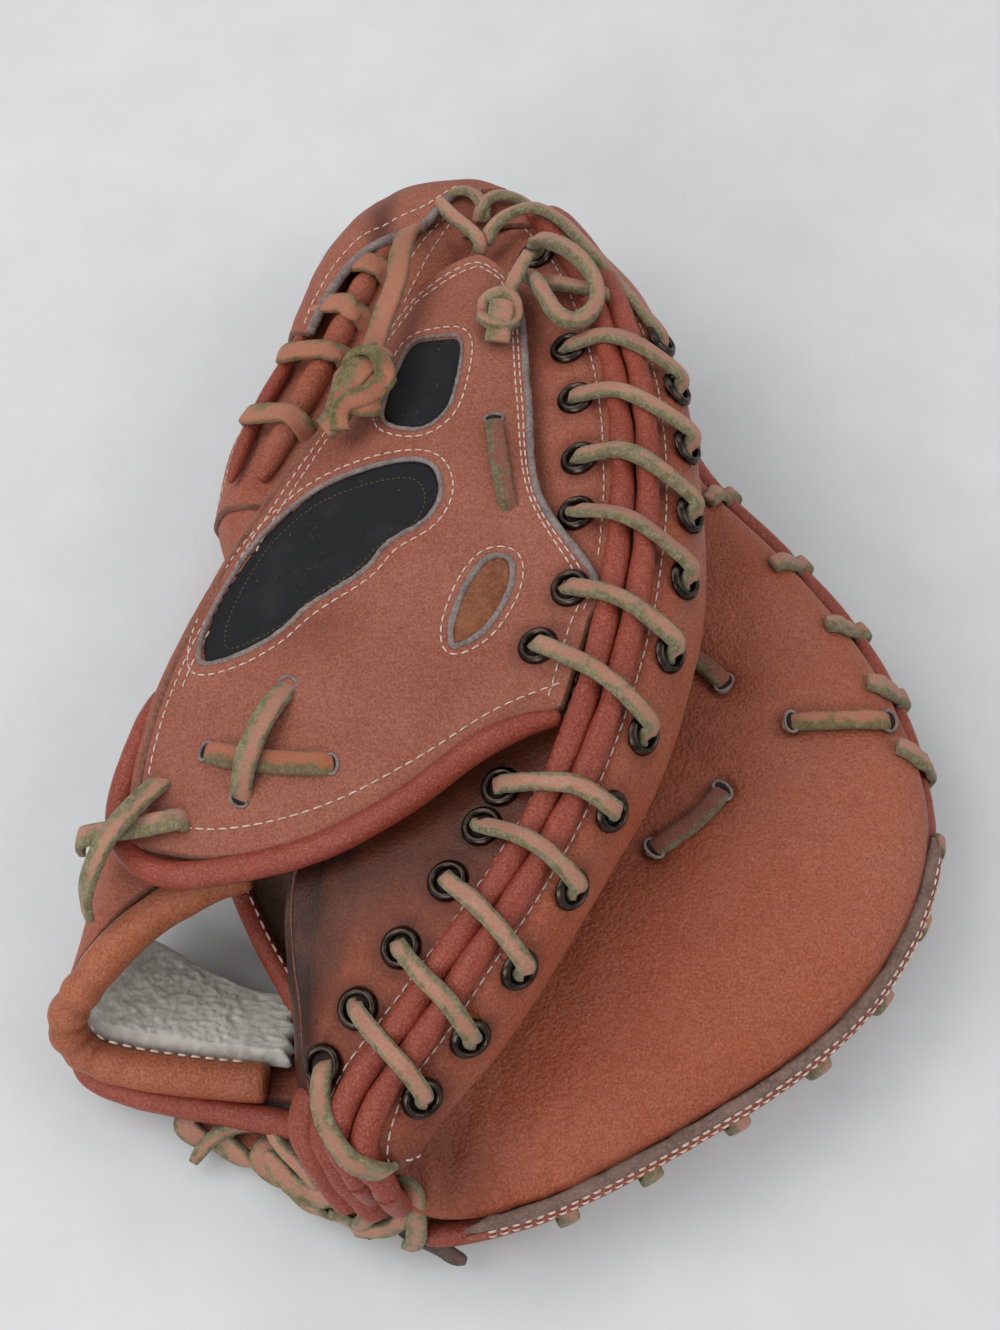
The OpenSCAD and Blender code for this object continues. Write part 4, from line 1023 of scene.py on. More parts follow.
def thin_sheet(name, outline, h, material, rings=10, dome=0.0):
    """Small patch on the panel with a round outline of [u, v] points."""
    edge = round_loop([p + [0] for p in outline], steps(0, 1, 90)[:-1])[:, :2]
    hub = edge.mean(0)
    share = steps(0.004, 1, rings)
    q = hub + share[None, :, None] * (edge - hub)[:, None]
    u, v = q[..., 0], q[..., 1]
    lift = dome * (1 - share**2)[None] + 0.12 * bumps(over(panel_net, u, v, 0, -1), 9, 4)
    top = over(panel_net, u, v, h + PATCH_T + lift, -1)
    low = over(panel_net, u, v, h + lift, -1)
    return shell(name, top, low, [material] * 3, wrap=True), top


# ---- Thumb half: palm side ------------------------------------------------------
palm_us = steps(0, 1, 300)
palm_seats = [palm_hole(i)[0] for i in range(1, 13)]
SEAM_WRAPS = range(1, 12)


def crossings(back_share, offset):
    """Where the laces of the seam cross one of its pipings."""
    at = [back_share * back_stations[i] + (1 - back_share) * palm_stations[i] for i in SEAM_WRAPS]
    return np.array([seam_point(station(k), offset, 1) for k in at])


wraps_palm, wraps_back = crossings(0.36, SEAM_HALF), crossings(0.64, -SEAM_HALF)
seam_run = steps(0.006, station(11.6), 240)
palm_row = seam_point(seam_run, 2 * SEAM_HALF + 1.9, 0)
back_row = seam_point(seam_run, -2 * SEAM_HALF - 1.9, 0)


def palm_lift(p):
    h = 0.55 * bumps(p, 46, 1) + 0.22 * bumps(p, 17, 2) + around_holes(p, palm_seats)
    h -= pressed(p, palm_row, 0.7, 1.8)
    return h + 0.5 * bell(p[..., 1], -140, 16) * bumps(p * [1, 2.4, 1], 13, 6)


top, low = sheet_grid(palm_net, palm_us, palm_start(palm_us), 1, 130, -1, 0, -PALM_T, palm_lift)
v_of = steps(0, 1, 130)[None]
edge_dust = 0.95 * bell(v_of, 0.44, 0.09) * (0.6 + 0.4 * bumps(top, 30, 5))
# Worn spots at the heel, and painted shade: beyond v 0.62 the underside of the thumb, facing down into the
# gap, is darkened in the wear colour.
wear_and_shade = spots(top, [(-15, -140, 60, 12, 0.5), (-26, -148, 50, 10, 0.7)])
wear_and_shade = np.maximum(wear_and_shade, 0.5 * np.clip((v_of - 0.62) / 0.2, 0, 1))
thumb_palm = shell("thumb_palm_leather", top, low, [PALM, FLESH, RAW],
                   mask_of(top, wear_and_shade, edge_dust, 0.55 * hole_dirt(top, palm_seats)))
palm_stitching = sewn("palm_seam_stitches", palm_row, top, -1, SEAM_STITCH)
heel_row = over(palm_net, 0.075, steps(0.28, 0.5, 20), 0, -1)
heel_sewing = sewn("thumb_heel_stitches", heel_row, top, -1, 3.0, gap=0.4, r=0.36)
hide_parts("thumb_palm_shell")


# ---- Thumb half: back side --------------------------------------------------------
back_seats = [back_hole(i)[0] for i in range(13)]


def back_lift(p):
    h = 0.5 * bumps(p, 40, 11) + 0.2 * bumps(p, 14, 12) + around_holes(p, back_seats)
    h -= pressed(p, back_row, 0.7, 1.8)
    rough = np.clip((-60 - p[..., 1]) / 30, 0, 1)
    return h + 0.5 * rough * bumps(p * [1.6, 0.8, 1], 16, 13)


lining_us = steps(0.03, 0.9, 270)
top, low = sheet_grid(lining_net, lining_us, 0, back_stop(lining_us), 80, -1, 0, -LINING_T, back_lift)
v_of = steps(0, 1, 80)[None]
x, y = top[..., 0], top[..., 1]
# Painted shade mixed with worn, darker leather: near-black along the left edge, where the lining runs into
# the mitt; darker towards the heel end and towards the top, plus uneven blotches.
left_shade = np.clip(1.35 - v_of / 0.32, 0, 1) ** 0.7 * np.clip((-50 - y) / 20, 0, 1)
burn_and_shade = left_shade * (0.9 + 0.4 * bumps(top, 12, 14)) + 0.5 * np.clip((-124 - y) / 14, 0, 1)
burn_and_shade = np.maximum(burn_and_shade, 0.62 * np.clip((y + 94 - 0.25 * x) / 24, 0, 1))
blotches = 0.16 + 0.45 * np.clip(bumps(top * [1.4, 0.8, 1], 15, 15), 0, 1)
burn_and_shade = burn_and_shade + blotches * np.clip(1.5 - 1.6 * v_of, 0, 1)
# The back and the cut edge take the near-black painted-shade material.
heel_lining = shell("heel_lining", top, low, [LINING, PAINTED_SHADE, PAINTED_SHADE],
                    mask_of(top, burn_and_shade, 0.15 * v_of, 0.7 * hole_dirt(top, back_seats)))
lining_top = top
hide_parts("thumb_heel_lining")

band_us = steps(station(7.1), 1, 160)
top, low = sheet_grid(back_net, band_us, 0.2, back_stop(band_us), 60, -1, 0, -BACK_T, back_lift)
tip_dust = np.clip((top[..., 1] - 96) / 30, 0.25, 0.6)
back_band = shell("thumb_back_leather", top, low, [BACK, FLESH, RAW],
                  mask_of(top, 0, tip_dust, 0.6 * hole_dirt(top, back_seats)))
band_top = top
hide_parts("thumb_back_band")

# Back panel with its raw, double stitched edges
LABEL = [[0.36, 0.08], [0.385, 0.045], [0.44, 0.03], [0.51, 0.03], [0.58, 0.055], [0.62, 0.14],
         [0.62, 0.27], [0.6, 0.4], [0.57, 0.475], [0.525, 0.505], [0.49, 0.475], [0.475, 0.39],
         [0.445, 0.35], [0.425, 0.26], [0.39, 0.2]]
STALL = [[0.8, 0.245], [0.85, 0.27], [0.825, 0.39], [0.795, 0.505], [0.75, 0.535], [0.675, 0.505],
         [0.65, 0.41], [0.68, 0.3], [0.725, 0.25]]
SLOT = [[0.24, 0.64], [0.26, 0.62], [0.3, 0.615], [0.355, 0.635], [0.39, 0.68], [0.395, 0.74],
        [0.375, 0.76], [0.315, 0.735], [0.255, 0.695]]


def net_loop(outline, grow=0.0):
    """Closed 3-D line on the panel from round [u, v] points, grown outwards by some mm."""
    q = round_loop([p + [0] for p in outline], steps(0, 1, 160)[:-1])[:, :2]
    p = over(panel_net, q[:, 0], q[:, 1], 0, -1)
    n = -face_dir(panel_net, q[:, 0], q[:, 1])
    t = unit(np.roll(p, -1, 0) - np.roll(p, 1, 0))
    out = np.cross(t, n)
    if ((p - p.mean(0)) * out).sum() < 0:
        out = -out
    return p + grow * out, n


windows = [net_loop(LABEL), net_loop(STALL), net_loop(SLOT)]
width_us = steps(0, 1, 60)
panel_width = np.linalg.norm(surf(panel_net, width_us, 1) - surf(panel_net, width_us, 0), axis=1) * 1.06


def share_of(mm, u):
    """The share of the panel's width that a length in mm is."""
    return mm / np.interp(u, width_us, panel_width)


def on_panel(u, mm, from_right=True):
    """Point of the panel some mm in from its right or left edge."""
    share = share_of(mm, u)
    return over(panel_net, u, 1 - share if from_right else share, 0, -1)


# Share of the panel's width that turns down at its left edge
TURN = 0.09


def turned_at(u, w):
    """Where w, from the turned left edge (0) to the right edge (1), lies across panel_full_net."""
    v = w * (1 - 0.3 * np.clip((u - 0.86) / 0.14, 0, 1) ** 2.6)
    return np.where(v < TURN, v / TURN / 6, 1 / 6 + (v - TURN) / (1 - TURN) * 5 / 6)


def edge_row(mm, left_end):
    """Row some mm inside the panel's edge: up the right side, round the top and down the left."""
    mm_full = (1 - TURN) * mm
    crown = 1 - mm / 190
    uw = [[u, 1 - share_of(mm_full, u)] for u in steps(0.22, 0.92, 24)]
    uw += [[0.955, 1 - 1.4 * share_of(mm_full, 0.955)], [crown, 0.84], [crown, 0.66], [crown, 0.48],
           [crown - 0.003, 0.3], [0.957, TURN + 1.6 * share_of(mm_full, 0.957)]]
    uw += [[u, TURN + share_of(mm_full, u)] for u in steps(0.92, left_end, 24)]
    u, w, _ = along(np.array([q + [0] for q in uw]), steps(0, 1, 200)).T
    return over(panel_full_net, u, turned_at(u, w), 0, -1)


wrist_row = over(panel_net, 0.052, steps(0.03, 0.98, 60), 0, -1)
seam_side_row = over(panel_net, steps(0.03, 0.22, 12), steps(0.952, 0.948, 12), 0, -1)
panel_rows_sewn = [edge_row(3.8, 0.02), edge_row(6.8, 0.32), wrist_row, seam_side_row]
press_lines = np.concatenate([resample(r, 1.5) for r in panel_rows_sewn])


def panel_lift(p):
    h = 0.6 * bumps(p, 38, 21) + 0.3 * bumps(p, 15, 22) + around_holes(p, back_seats)
    h -= pressed(p, press_lines, 0.4, 1.5)
    for loop, _ in windows:
        d = inside_of(p, loop)
        h += -1.5 / (1 + np.exp(np.clip((d + 0.6) * 3, -40, 40))) + 0.35 * bell(d, 3, 2.2)
        h -= 0.35 * bell(d, 3.4, 0.9)
    pucker = bell(p[..., 1], -20, 40) * bell(p[..., 0], -60, 25)
    return h + 0.5 * pucker * bumps(p * [0.7, 2.2, 1], 12, 23)


u_grid, w_grid = grid_of(steps(0, 1, 210), steps(0, 1, 180))
turned = turned_at(u_grid, w_grid)
base = over(panel_full_net, u_grid, turned, 0, -1)
out = -face_dir(panel_full_net, u_grid, turned)
raised = panel_lift(base)[..., None]
top = base + raised * out
low = base - BACK_T * out + DENT_THROUGH * np.minimum(raised, 0) * out
dirt_and_shade = np.maximum(0.5 * hole_dirt(top, back_seats),
                  spots(top, [(-52, -10, 76, 12, 0.45), (-95, -62, 62, 14, 0.5)]))
panel = shell("thumb_back_panel_leather", top, low, [DUSTY, FLESH, RAW],
              mask_of(top, 0, 0.35 + 0.4 * bumps(top, 26, 24), dirt_and_shade))
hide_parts("thumb_back_panel")
rows = [sewn("s%d" % k, line, top, -1, PANEL_STITCH) for k, line in enumerate(panel_rows_sewn)]
for k, (outline, grow) in enumerate(((LABEL, 3.4), (STALL, 2.8), (SLOT, 2.6))):
    rows.append(sewn("w%d" % k, net_loop(outline, grow)[0], top, -1, PATCH_STITCH, True))
panel_stitching = join("panel_stitches", rows)

raw_line, n = settle(on_panel(steps(0.27, 0.935, 90), 0.2), top, -1, -0.5)
raw_right = flat_ring("lobe_raw_edge", raw_line, n, 2.2, 2.2, FELT, False, 3)
raw_line, n = settle(on_panel(steps(0.02, 0.97, 90), -0.2, False), top, -1, -0.6)
raw_left = flat_ring("panel_raw_edge", raw_line, n, 2.4, 2.2, RAW, False, 5)
rings = []
for k, ((loop, n), wide) in enumerate(zip(windows, (1.6, 1.2, 1.9))):
    line, _ = settle(loop, top, -1, 0.15)
    rings.append(flat_ring("ring%d" % k, line, n, wide, 1.4, FELT, True, 7 + k))
window_edges = join("window_raw_edges", rings)

label, label_top = thin_sheet("label_cloth", LABEL, -1.2, SATIN, 16)
stall_cloth, _ = thin_sheet("stall_cloth", STALL, -1.2, SATIN)
slot_suede, _ = thin_sheet("slot_suede_lining", SLOT, -1.0, SLOT_SUEDE, dome=1.5)
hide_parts("label_patch")
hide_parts("stall_patch")
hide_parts("slot_lining")

# Gold stitches inside the border of the label
border = round_loop([[0.5 + 0.8 * (u - 0.5), 0.255 + 0.8 * (v - 0.255), 0] for u, v in LABEL],
                    steps(0, 1, 150)[:-1])
gold_loop = over(panel_net, border[:, 0], border[:, 1], 0, -1)
label_gold = sewn("label_gold_thread", gold_loop, label_top, -1, 1.3, True, h=0.1, gap=0.3, r=0.26,
                  colour=GOLD)


# ---- Bindings of the seam and the wrist -------------------------------------------
def pinched(path, lines, depth=0.14, width=5.0):
    """Swell of a piping: squeezed where laces cross it."""
    return 1.02 - depth * bell(far_from(path, lines), 0, width)


HEEL_RUN = np.array([[4.6, -3.2, -20], [3.6, -4, -13.5], [2.2, -3.4, -6.8], [0.9, -1.6, -2.2]])


def run_down(path):
    """Carries a seam piping on, down the heel and behind the laces."""
    tail = np.concatenate([path[0] + HEEL_RUN, path[:1]])
    return np.concatenate([resample(tail, 0.9)[:-1], path])


def seam_piping(name, offset, marks, seed):
    path = run_down(seam_point(seam_run, offset, 1))
    return tube(name, path, SEAM_D, [PIPING], pinched(path, marks), 24, seed=seed, broad=1.13)


back_piping = seam_piping("back_edge_piping", -SEAM_HALF, wraps_back, 31)
palm_piping = seam_piping("palm_edge_piping", SEAM_HALF, wraps_palm, 32)
wrist_path = resample([[-93.5, -19, 52], [-97, -29, 54], [-100.2, -40, 54], [-102.6, -51, 53.5],
                       [-102.6, -60, 53], [-98, -68.5, 53.5], [-89, -74, 55.6], [-74, -75.2, 60.4],
                       [-49, -72.3, 68.6], [-26, -63.2, 77.6], [-6, -50, 83.8], [6, -45.4, 87.6],
                       [15.5, -43, 88]], 1.3)
wrist_run = steps(0, 1, len(wrist_path) - 1)
wrist_swell = 0.86 - 0.3 * np.exp(-wrist_run / 0.035) - 0.36 * np.clip((wrist_run - 0.9) / 0.1, 0, 1) ** 1.3
wrist_piping = tube("wrist_piping", wrist_path, WRIST_D, [PIPING], wrist_swell, 28, seed=33, rough=0.04)
for piece, node in ((back_piping, "back_edge_binding"), (palm_piping, "palm_edge_binding"),
                    (wrist_piping, "wrist_opening_binding")):
    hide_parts(node)
back_seam_sewing = sewn("back_seam_stitches", back_row[:150], lining_top, -1, SEAM_STITCH)
band_sewing = sewn("band_seam_stitches", back_row[158:], band_top, -1, SEAM_STITCH)

# ---- Eyelets and laces of the thumb half --------------------------------------------
back_set = eyelet_set("back_eyelet_rings", [back_hole(i) for i in range(13)])
palm_set = eyelet_set("palm_eyelet_rings", [palm_hole(i) for i in range(1, 13)])
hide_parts("back_eyelets")
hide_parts("palm_eyelets")


def flat_to(v, n):
    """Direction of v within the plane square to n."""
    return unit(v - (v @ n) * n)


# Laces over the seam, from hole to hole; they bow and lean a little
thumb_wraps = []
for i in SEAM_WRAPS:
    a, b = back_hole(i), palm_hole(i)
    ra, rb = flat_to(b[0] - a[0], a[1]), flat_to(b[0] - a[0], b[1])
    up = unit(a[1] + b[1])
    side = unit(np.cross(up, b[0] - a[0]))
    ua, ub = station(back_stations[i]), station(palm_stations[i])
    rise = 1 + SEAM_D / 2 + GAP + LACE_T / 2 - 0.1
    near_us = steps(min(ua, ub) - 0.04, max(ua, ub) + 0.04, 80)
    bow = 1.5 + 1.2 * rng.rand()
    tops = []
    for offset, part in ((-SEAM_HALF, 0.62), (SEAM_HALF, 1.0)):
        line = seam_point(near_us, offset, rise)
        tops.append(line[np.abs((line - a[0]) @ side - bow * part).argmin()])
    path = [a[0] - 2.4 * ra - 1.8 * a[1], a[0] - 0.3 * ra + 0.9 * a[1],
            a[0] + 3.0 * ra + 3.0 * a[1] + 0.4 * side, tops[0], tops[1],
            b[0] - 3.0 * rb + 3.4 * b[1] + 0.8 * side, b[0] + 0.2 * rb + 1.0 * b[1],
            b[0] + 2.2 * rb - 1.8 * b[1]]
    lean = 0.5 * (rng.rand() - 0.2) * side
    ups = [a[1] + ra, a[1] + 0.3 * ra + lean, a[1] + lean, up + lean, up + lean, b[1] + 0.2 * rb,
           b[1] - 0.3 * rb, b[1] - rb]
    both = 1.0 if i < 6 else 0.45
    thumb_wraps.append(lace("wrap%d" % i, path, ups, 4.8, LACE_T, 40 + i, 0.8, both=both))
# Heel end and tip of the seam lacing: path, ups, width, pinch of the ends, fibrous sides
heel_seat = back_hole(0)[0]
last_seat, last_dir = palm_hole(12)
end_laces = (
    ([heel_seat + [1.5, 1.5, -1.2], heel_seat + [0.3, -1.5, 1.7], [-44.8, -132, 60.5], [-44.3, -137, 61],
      [-42.9, -141.2, 61], [-40.1, -146, 60.2], [-36.8, -149.6, 59], [-32.5, -151.4, 57.2],
      [-28.6, -151.5, 54.5], [-27, -150, 51.5]],
     [[-0.6, 0.3, 1], [-0.5, 0, 1], [-0.5, -0.2, 1], [-0.5, -0.2, 1], [-0.4, -0.3, 1], [-0.3, -0.4, 1],
      [-0.2, -0.7, 1], [0, -0.9, 0.8], [0.1, -1, 0.5], [0.2, -1, 0.3]], 5.2, 0.9, 0.9),
    ([[14, 108.5, 71], [16.5, 104.5, 75.5], [21, 101, 79], [26, 99, 79.6], [31, 98, 78.6], [37, 92.5, 76.5],
      [41.5, 86.5, 73.5]],
     [[-0.4, 0, 1], [-0.3, 0, 1], [0, 0.2, 1], [0.2, 0.2, 1], [0.3, 0.2, 1], [0.6, 0.2, 1],
      [0.8, 0.2, 1]], 4.6, 1, 0),
    ([[-4.5, 126.5, 66], [-3, 130, 68], [1.2, 134.5, 69.5], [8.5, 138.4, 69], [14.2, 137, 69],
      [19, 131.8, 70.6], [24, 123.8, 72.6], [30.6, 112.4, 75], [35.4, 104.4, 75.4],
      last_seat + 2.6 * last_dir + [-3, 3, 0], last_seat + 0.8 * last_dir,
      last_seat - 1.8 * last_dir + [1, -1.4, 0]],
     [[-0.3, -0.2, 1], [-0.3, 0.1, 1], [-0.2, 0.4, 1], [0, 0.5, 1], [0.3, 0.4, 1], [0.4, 0.3, 1],
      [0.5, 0.2, 1], [0.5, 0.2, 1], [0.6, 0.2, 1], [0.7, 0.1, 1], [0.8, -0.2, 0.8], [0.8, -0.5, 0.4]],
     4.4, 1, 0),
    ([[-7, 139, 61], [-5.5, 143.5, 64], [-1, 147.3, 64.5], [5, 146.5, 64], [10.5, 142.5, 62.5],
      [13.5, 138.5, 60.5]],
     [[-0.5, 0.2, 1], [-0.3, 0.4, 1], [0, 0.6, 1], [0.2, 0.6, 1], [0.4, 0.4, 1], [0.5, 0.4, 1]], 4.2, 1, 0),
    ([[-22, 152, 58], [-19.5, 147, 61.5], [-14.3, 137.8, 65], [-8.4, 129.5, 68], [-6.2, 126, 67.5],
      [-6.6, 123.5, 65]],
     [[-0.4, -0.1, 1], [-0.3, -0.1, 1], [-0.2, 0, 1], [-0.2, 0, 1], [-0.2, -0.4, 1], [-0.2, -1, 0.6]],
     4.2, 1, 0),
    ([[-17, 150.6, 60], [-12, 150.4, 63], [-7.4, 147.6, 63.6], [-5, 143, 63], [-5.5, 139, 61]],
     [[0, 0.5, 1]] * 5, 4.2, 1, 1))
for k, (path, ups, wide, pinch, both) in enumerate(end_laces):
    thumb_wraps.append(lace("end%d" % k, path, ups, wide, LACE_T, 55 + k, pinch, both=both))
thumb_laces = join("thumb_seam_laces", thumb_wraps)
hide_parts("thumb_lacing")

tip_seat, tip_dir = back_hole(12)
loop_path = [tip_seat - 1.6 * tip_dir, tip_seat + 1.4 * tip_dir + [0.8, 0, 0], [11, 119.6, 76],
             [15, 117, 79.5], [21, 111, 82.5], [26.4, 102.4, 84], [28.4, 93.6, 84.6], [26, 86.4, 85.4],
             [21, 83, 86], [16.2, 86, 86], [13.2, 93.4, 84], [11, 101.4, 79.8], [9.2, 107, 75.6],
             [8.4, 109.6, 73]]
tip_loop = lace("tip_loop_lace", loop_path, [[0.1, 0, 1]] * 14, 4.6, 3.6, 61, 0.9, both=0.5)
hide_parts("tip_lace_loop")


def placed(points, centre, turn_y=0.0, turn_z=0.0):
    """Points of a small knot, turned and moved to its place."""
    p = np.asarray(points, float)
    a, b = math.radians(turn_y), math.radians(turn_z)
    ry = np.array([[math.cos(a), 0, math.sin(a)], [0, 1, 0], [-math.sin(a), 0, math.cos(a)]])
    rz = np.array([[math.cos(b), -math.sin(b), 0], [math.sin(b), math.cos(b), 0], [0, 0, 1]])
    return p @ ry.T @ rz.T + np.asarray(centre, float)


# Web tie: a flat lace that ends in a fat overhand knot with two short tails
run = [[-26.6, 136.5, 59.5], [-27.4, 133, 65], [-28.6, 127, 70.5], [-30, 116, 75], [-31, 104, 76.5],
       [-34, 92, 77.5], [-36.5, 80, 79], [-38, 72, 81]]
knot_at, KNOT_TURN = (-38.5, 66, 76.3), (-22, -14)
ups = [[-0.4, 0.6, 0.8], [-0.4, 0.4, 1]] + [[-0.4, 0, 1]] * 6
tie = [lace("t0", run, ups, 6.8, 2.4, 71, material=WEB_LACE, edges=0.6)]
strands = [
    ([[3, 12, 2.5], [1, 6, 5.0], [-1, 0, 6.3], [-3, -6, 5], [-5.5, -11, 2], [-9, -14.5, 0.5]],
     [0, 0, 1], 8.4),
    ([[-6.5, -4, 0], [-7.4, 1, 2], [-6.2, 6, 4.2], [-1, 8.8, 6.8], [4, 7.8, 6], [6.6, 4, 4],
      [6.8, -1, 1.8], [4.5, -5, 0]], [0, 0.8, 0.6], 6.0),
    ([[6.6, 4, 1], [7.4, -1, 3.2], [4.2, -6.4, 5.2], [-0.6, -8.4, 5.6], [-3.2, -11.5, 4.2],
      [-2.6, -16, 2.2]], [0.3, -0.5, 0.8], 5.6),
    ([[-7, 2, 0], [-5.4, -3, 3], [-1, -7.4, 3.8], [4, -8.4, 2.6], [6, -6, 0]], [0, -0.6, 0.8], 6.0)]
for k, (pts, up, wide) in enumerate(strands):
    tie.append(lace("t%d" % (k + 1), placed(pts, knot_at, *KNOT_TURN), [up] * len(pts), wide, 2.6, 72 + k,
                    material=WEB_LACE))
bulge = [[0, 8, 1.6], [0, 3, 2.4], [0, -3, 2.4], [-1, -8, 1.4]]
tie.append(lace("t9", placed(bulge, knot_at, *KNOT_TURN), [UP] * 4, 11, 7.5, 79, material=WEB_LACE))
web_tie = join("web_tie_knot", tie)
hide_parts("web_tie_lace")

# Tie at the stall patch: one turn of lace round a folded end, with a tail
stall_at = (0, 89, 80.1)
tie = [lace("u0", [[1, 91, 81.5], [3, 97, 82.2], [5.5, 104, 81.6], [8.5, 111, 80.8]], [[0.2, 0, 1]] * 4,
            4.2, 2.4, 81)]
strands = [
    ([[-4.8, 1, -1], [-4.4, 4, 2], [0, 5.4, 4], [4, 3.6, 3.2], [5, -0.5, 1.2], [3, -4, 1.8],
      [-1.6, -4.6, 2.8], [-5, -1.6, 1.4], [-4.8, 1.6, -0.8]], [0, 0.1, 1], 3.6),
    ([[0.5, 6, 1.4], [0.4, 1, 3.2], [-0.2, -5, 2], [-0.8, -9.5, 0.2]], [0, 0, 1], 7.2)]
for k, (pts, up, wide) in enumerate(strands):
    tie.append(lace("u%d" % (k + 1), placed(pts, stall_at), [up] * len(pts), wide, 2.6, 82 + k))
stall_tie = join("stall_tie", tie)
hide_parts("stall_tie_knot")


def panel_strip(name, a, b, rise, wide, seed, material):
    """Lace between two points of the panel; its ends go down through the leather."""
    ts = np.array([-0.06, 0.04, 0.16, 0.35, 0.65, 0.84, 0.96, 1.06])
    u, v = (np.array(a) + ts[:, None] * (np.array(b) - np.array(a))).T
    h = LACE_T / 2 - 0.6 + rise * np.sin(np.clip(ts, 0, 1) * math.pi)
    h = h + np.array([-1.8, 0, 0.5, 0.7, 0.7, 0.5, 0, -1.8])
    ups = -face_dir(panel_net, u, v)
    return lace(name, over(panel_net, u, v, h, -1), ups, wide, LACE_T, seed, 0.9, material=material)


stall_strip = panel_strip("stall_slit_lace", [0.62, 0.755], [0.475, 0.795], 0.2, 5.2, 91, DARK_LACE)
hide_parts("stall_lace")
cross = [panel_strip("x0", [0.2, 0.145], [0.13, 0.4], 0.2, 6.4, 92, TAN_LACE),
         panel_strip("x1", [0.29, 0.27], [0.115, 0.23], 4.0, 6.4, 93, LACE)]
cross_tie = join("cross_tie_laces", cross)
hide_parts("cross_laces")


def slit_holes(name, ends):
    """Small slits of painted shade, a near-black disc inside a raw rim, where a lace goes through leather.
    """
    parts, turns = [], 28
    for k, (p, n, along_dir, size) in enumerate(ends):
        n = unit(np.asarray(n, float))
        t = flat_to(np.asarray(along_dir, float), n)
        s = np.cross(n, t)
        a = steps(0, 2 * math.pi, turns)[:-1]
        loop = p + 0.5 * size * np.cos(a)[:, None] * s + 0.32 * size * np.sin(a)[:, None] * t + 0.25 * n
        dirs = np.repeat(n[None], turns, 0)
        parts.append(flat_ring("%s%d" % (name, k), loop, dirs, 0.9, 0.9, FELT, True, k))
        points = np.concatenate([loop - 0.1 * n, (p + 0.1 * n)[None]])
        fan = [[i, (i + 1) % turns, turns] for i in range(turns)]
        parts.append(make_mesh("%sd%d" % (name, k), points, fan, [PAINTED_SHADE]))
    return join(name, parts)


ends = []
for q, d in (([0.628, 0.753], [0.02, 0]), ([0.203, 0.135], [-0.005, 0.02]), ([0.127, 0.41], [-0.005, 0.02]),
             ([0.3, 0.272], [0.02, 0.01]), ([0.105, 0.228], [0.02, 0.01])):
    p = over(panel_net, q[0], q[1], -0.1, -1)
    far = over(panel_net, q[0] + d[0], q[1] + d[1], 0, -1)
    ends.append((p, -face_dir(panel_net, q[0], q[1]), far - p, 5.4))
panel_slits = slit_holes("panel_slits", ends)

u, share = grid_of(steps(0.06, 0.9, 90), steps(0, 1, 40))
upper = over(lining_net, u, 0.1 + (back_stop(u) - 0.1) * share, -2.2, -1)
lower = over(palm_net, u, palm_start(u) + (1 - palm_start(u)) * (1 - share), -3.2, -1)
upper = upper + 0.2 * bumps(upper, 20, 5)[..., None] * UP
thumb_pad = shell("thumb_padding", upper, lower, [PADDING] * 3)
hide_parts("thumb_pad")

for piece in (thumb_palm, palm_stitching, heel_sewing, heel_lining, back_band, panel, panel_stitching,
              raw_right, raw_left, window_edges, label, stall_cloth, slot_suede, label_gold, back_piping,
              palm_piping, wrist_piping, back_seam_sewing, band_sewing, back_set, palm_set, thumb_laces,
              tip_loop, web_tie, stall_tie, stall_strip, cross_tie, panel_slits, thumb_pad):
    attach(piece, THUMB)


# ---- Finger half ------------------------------------------------------------------
loop_u = steps(0, 1, 460)[:-1]


def polar(share):
    """Round grids for the sheets of the finger half."""
    return grid_of(loop_u, share)


POCKET = [([0.335, 0.43], [0.3, 0.485]), ([0.125, 0.445], [0.197, 0.465]), ([0.27, 0.64], [0.28, 0.94])]
pocket_ends = [(palm_at(*a), palm_at(*b)) for a, b in POCKET]
pocket_marks = np.array([p for pair in pocket_ends for p in pair])


def finger_lift(p):
    h = 1.3 * bumps(p, 60, 41) + 0.45 * bumps(p, 21, 42)
    for a, b in pocket_ends:
        line = a + steps(0, 1, 12)[:, None] * (b - a)
        h -= pressed(p, line, 1.6, 8)
        for end in (a, b):
            h -= pressed(p, end[None], 1.3, 3.2)
    heel = bell(p[..., 1], -150, 20) * bell(p[..., 0], -5, 34)
    h += 2.2 * heel * bumps(p * [1.7, 0.45, 1], 9, 43)
    return h + 0.4 * bell(p[..., 0], -20, 12) * bumps(p * [1, 2, 1], 14, 44)


share = np.concatenate([[0.004, 0.03], steps(0.06, 1, 84)])
u_g, s_g = polar(share)
top = palm_at(u_g, s_g)
top = top + finger_lift(top)[..., None] * UP
low_s = np.interp(share, [0, 0.8, 0.88, 0.94, 0.98, 1], [0, 0.8, 0.86, 0.91, 0.96, 0.99])
low = palm_at(u_g, low_s[None]) - PALM_T * UP
scuff = spots(top, [(104, -35, 42, 32, 1.0), (113, -65, 40, 24, 0.8), (96, 8, 42, 24, 0.7)])
dust = scuff * (0.7 + 0.5 * bumps(top, 16, 45))
wear_and_shade = spots(top, [(-12, -146, 30, 14, 0.55), (-22, -120, 35, 16, 0.5)])
# Painted shade: the two broad dark spots lie in the pocket under the edge of the thumb half; the darker
# marks round the lace ends are dirt.
dirt_and_shade = np.maximum(0.9 * spots(top, [(50, -30, 36, 34, 0.5), (40, 40, 38, 24, 0.6)]),
                  pressed(top, pocket_marks, 0.8, 7))
finger_palm = shell("finger_palm_leather", top, low, [PALM, FLESH, RAW],
                    mask_of(top, wear_and_shade, dust, dirt_and_shade), wrap=True)
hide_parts("finger_palm_shell")

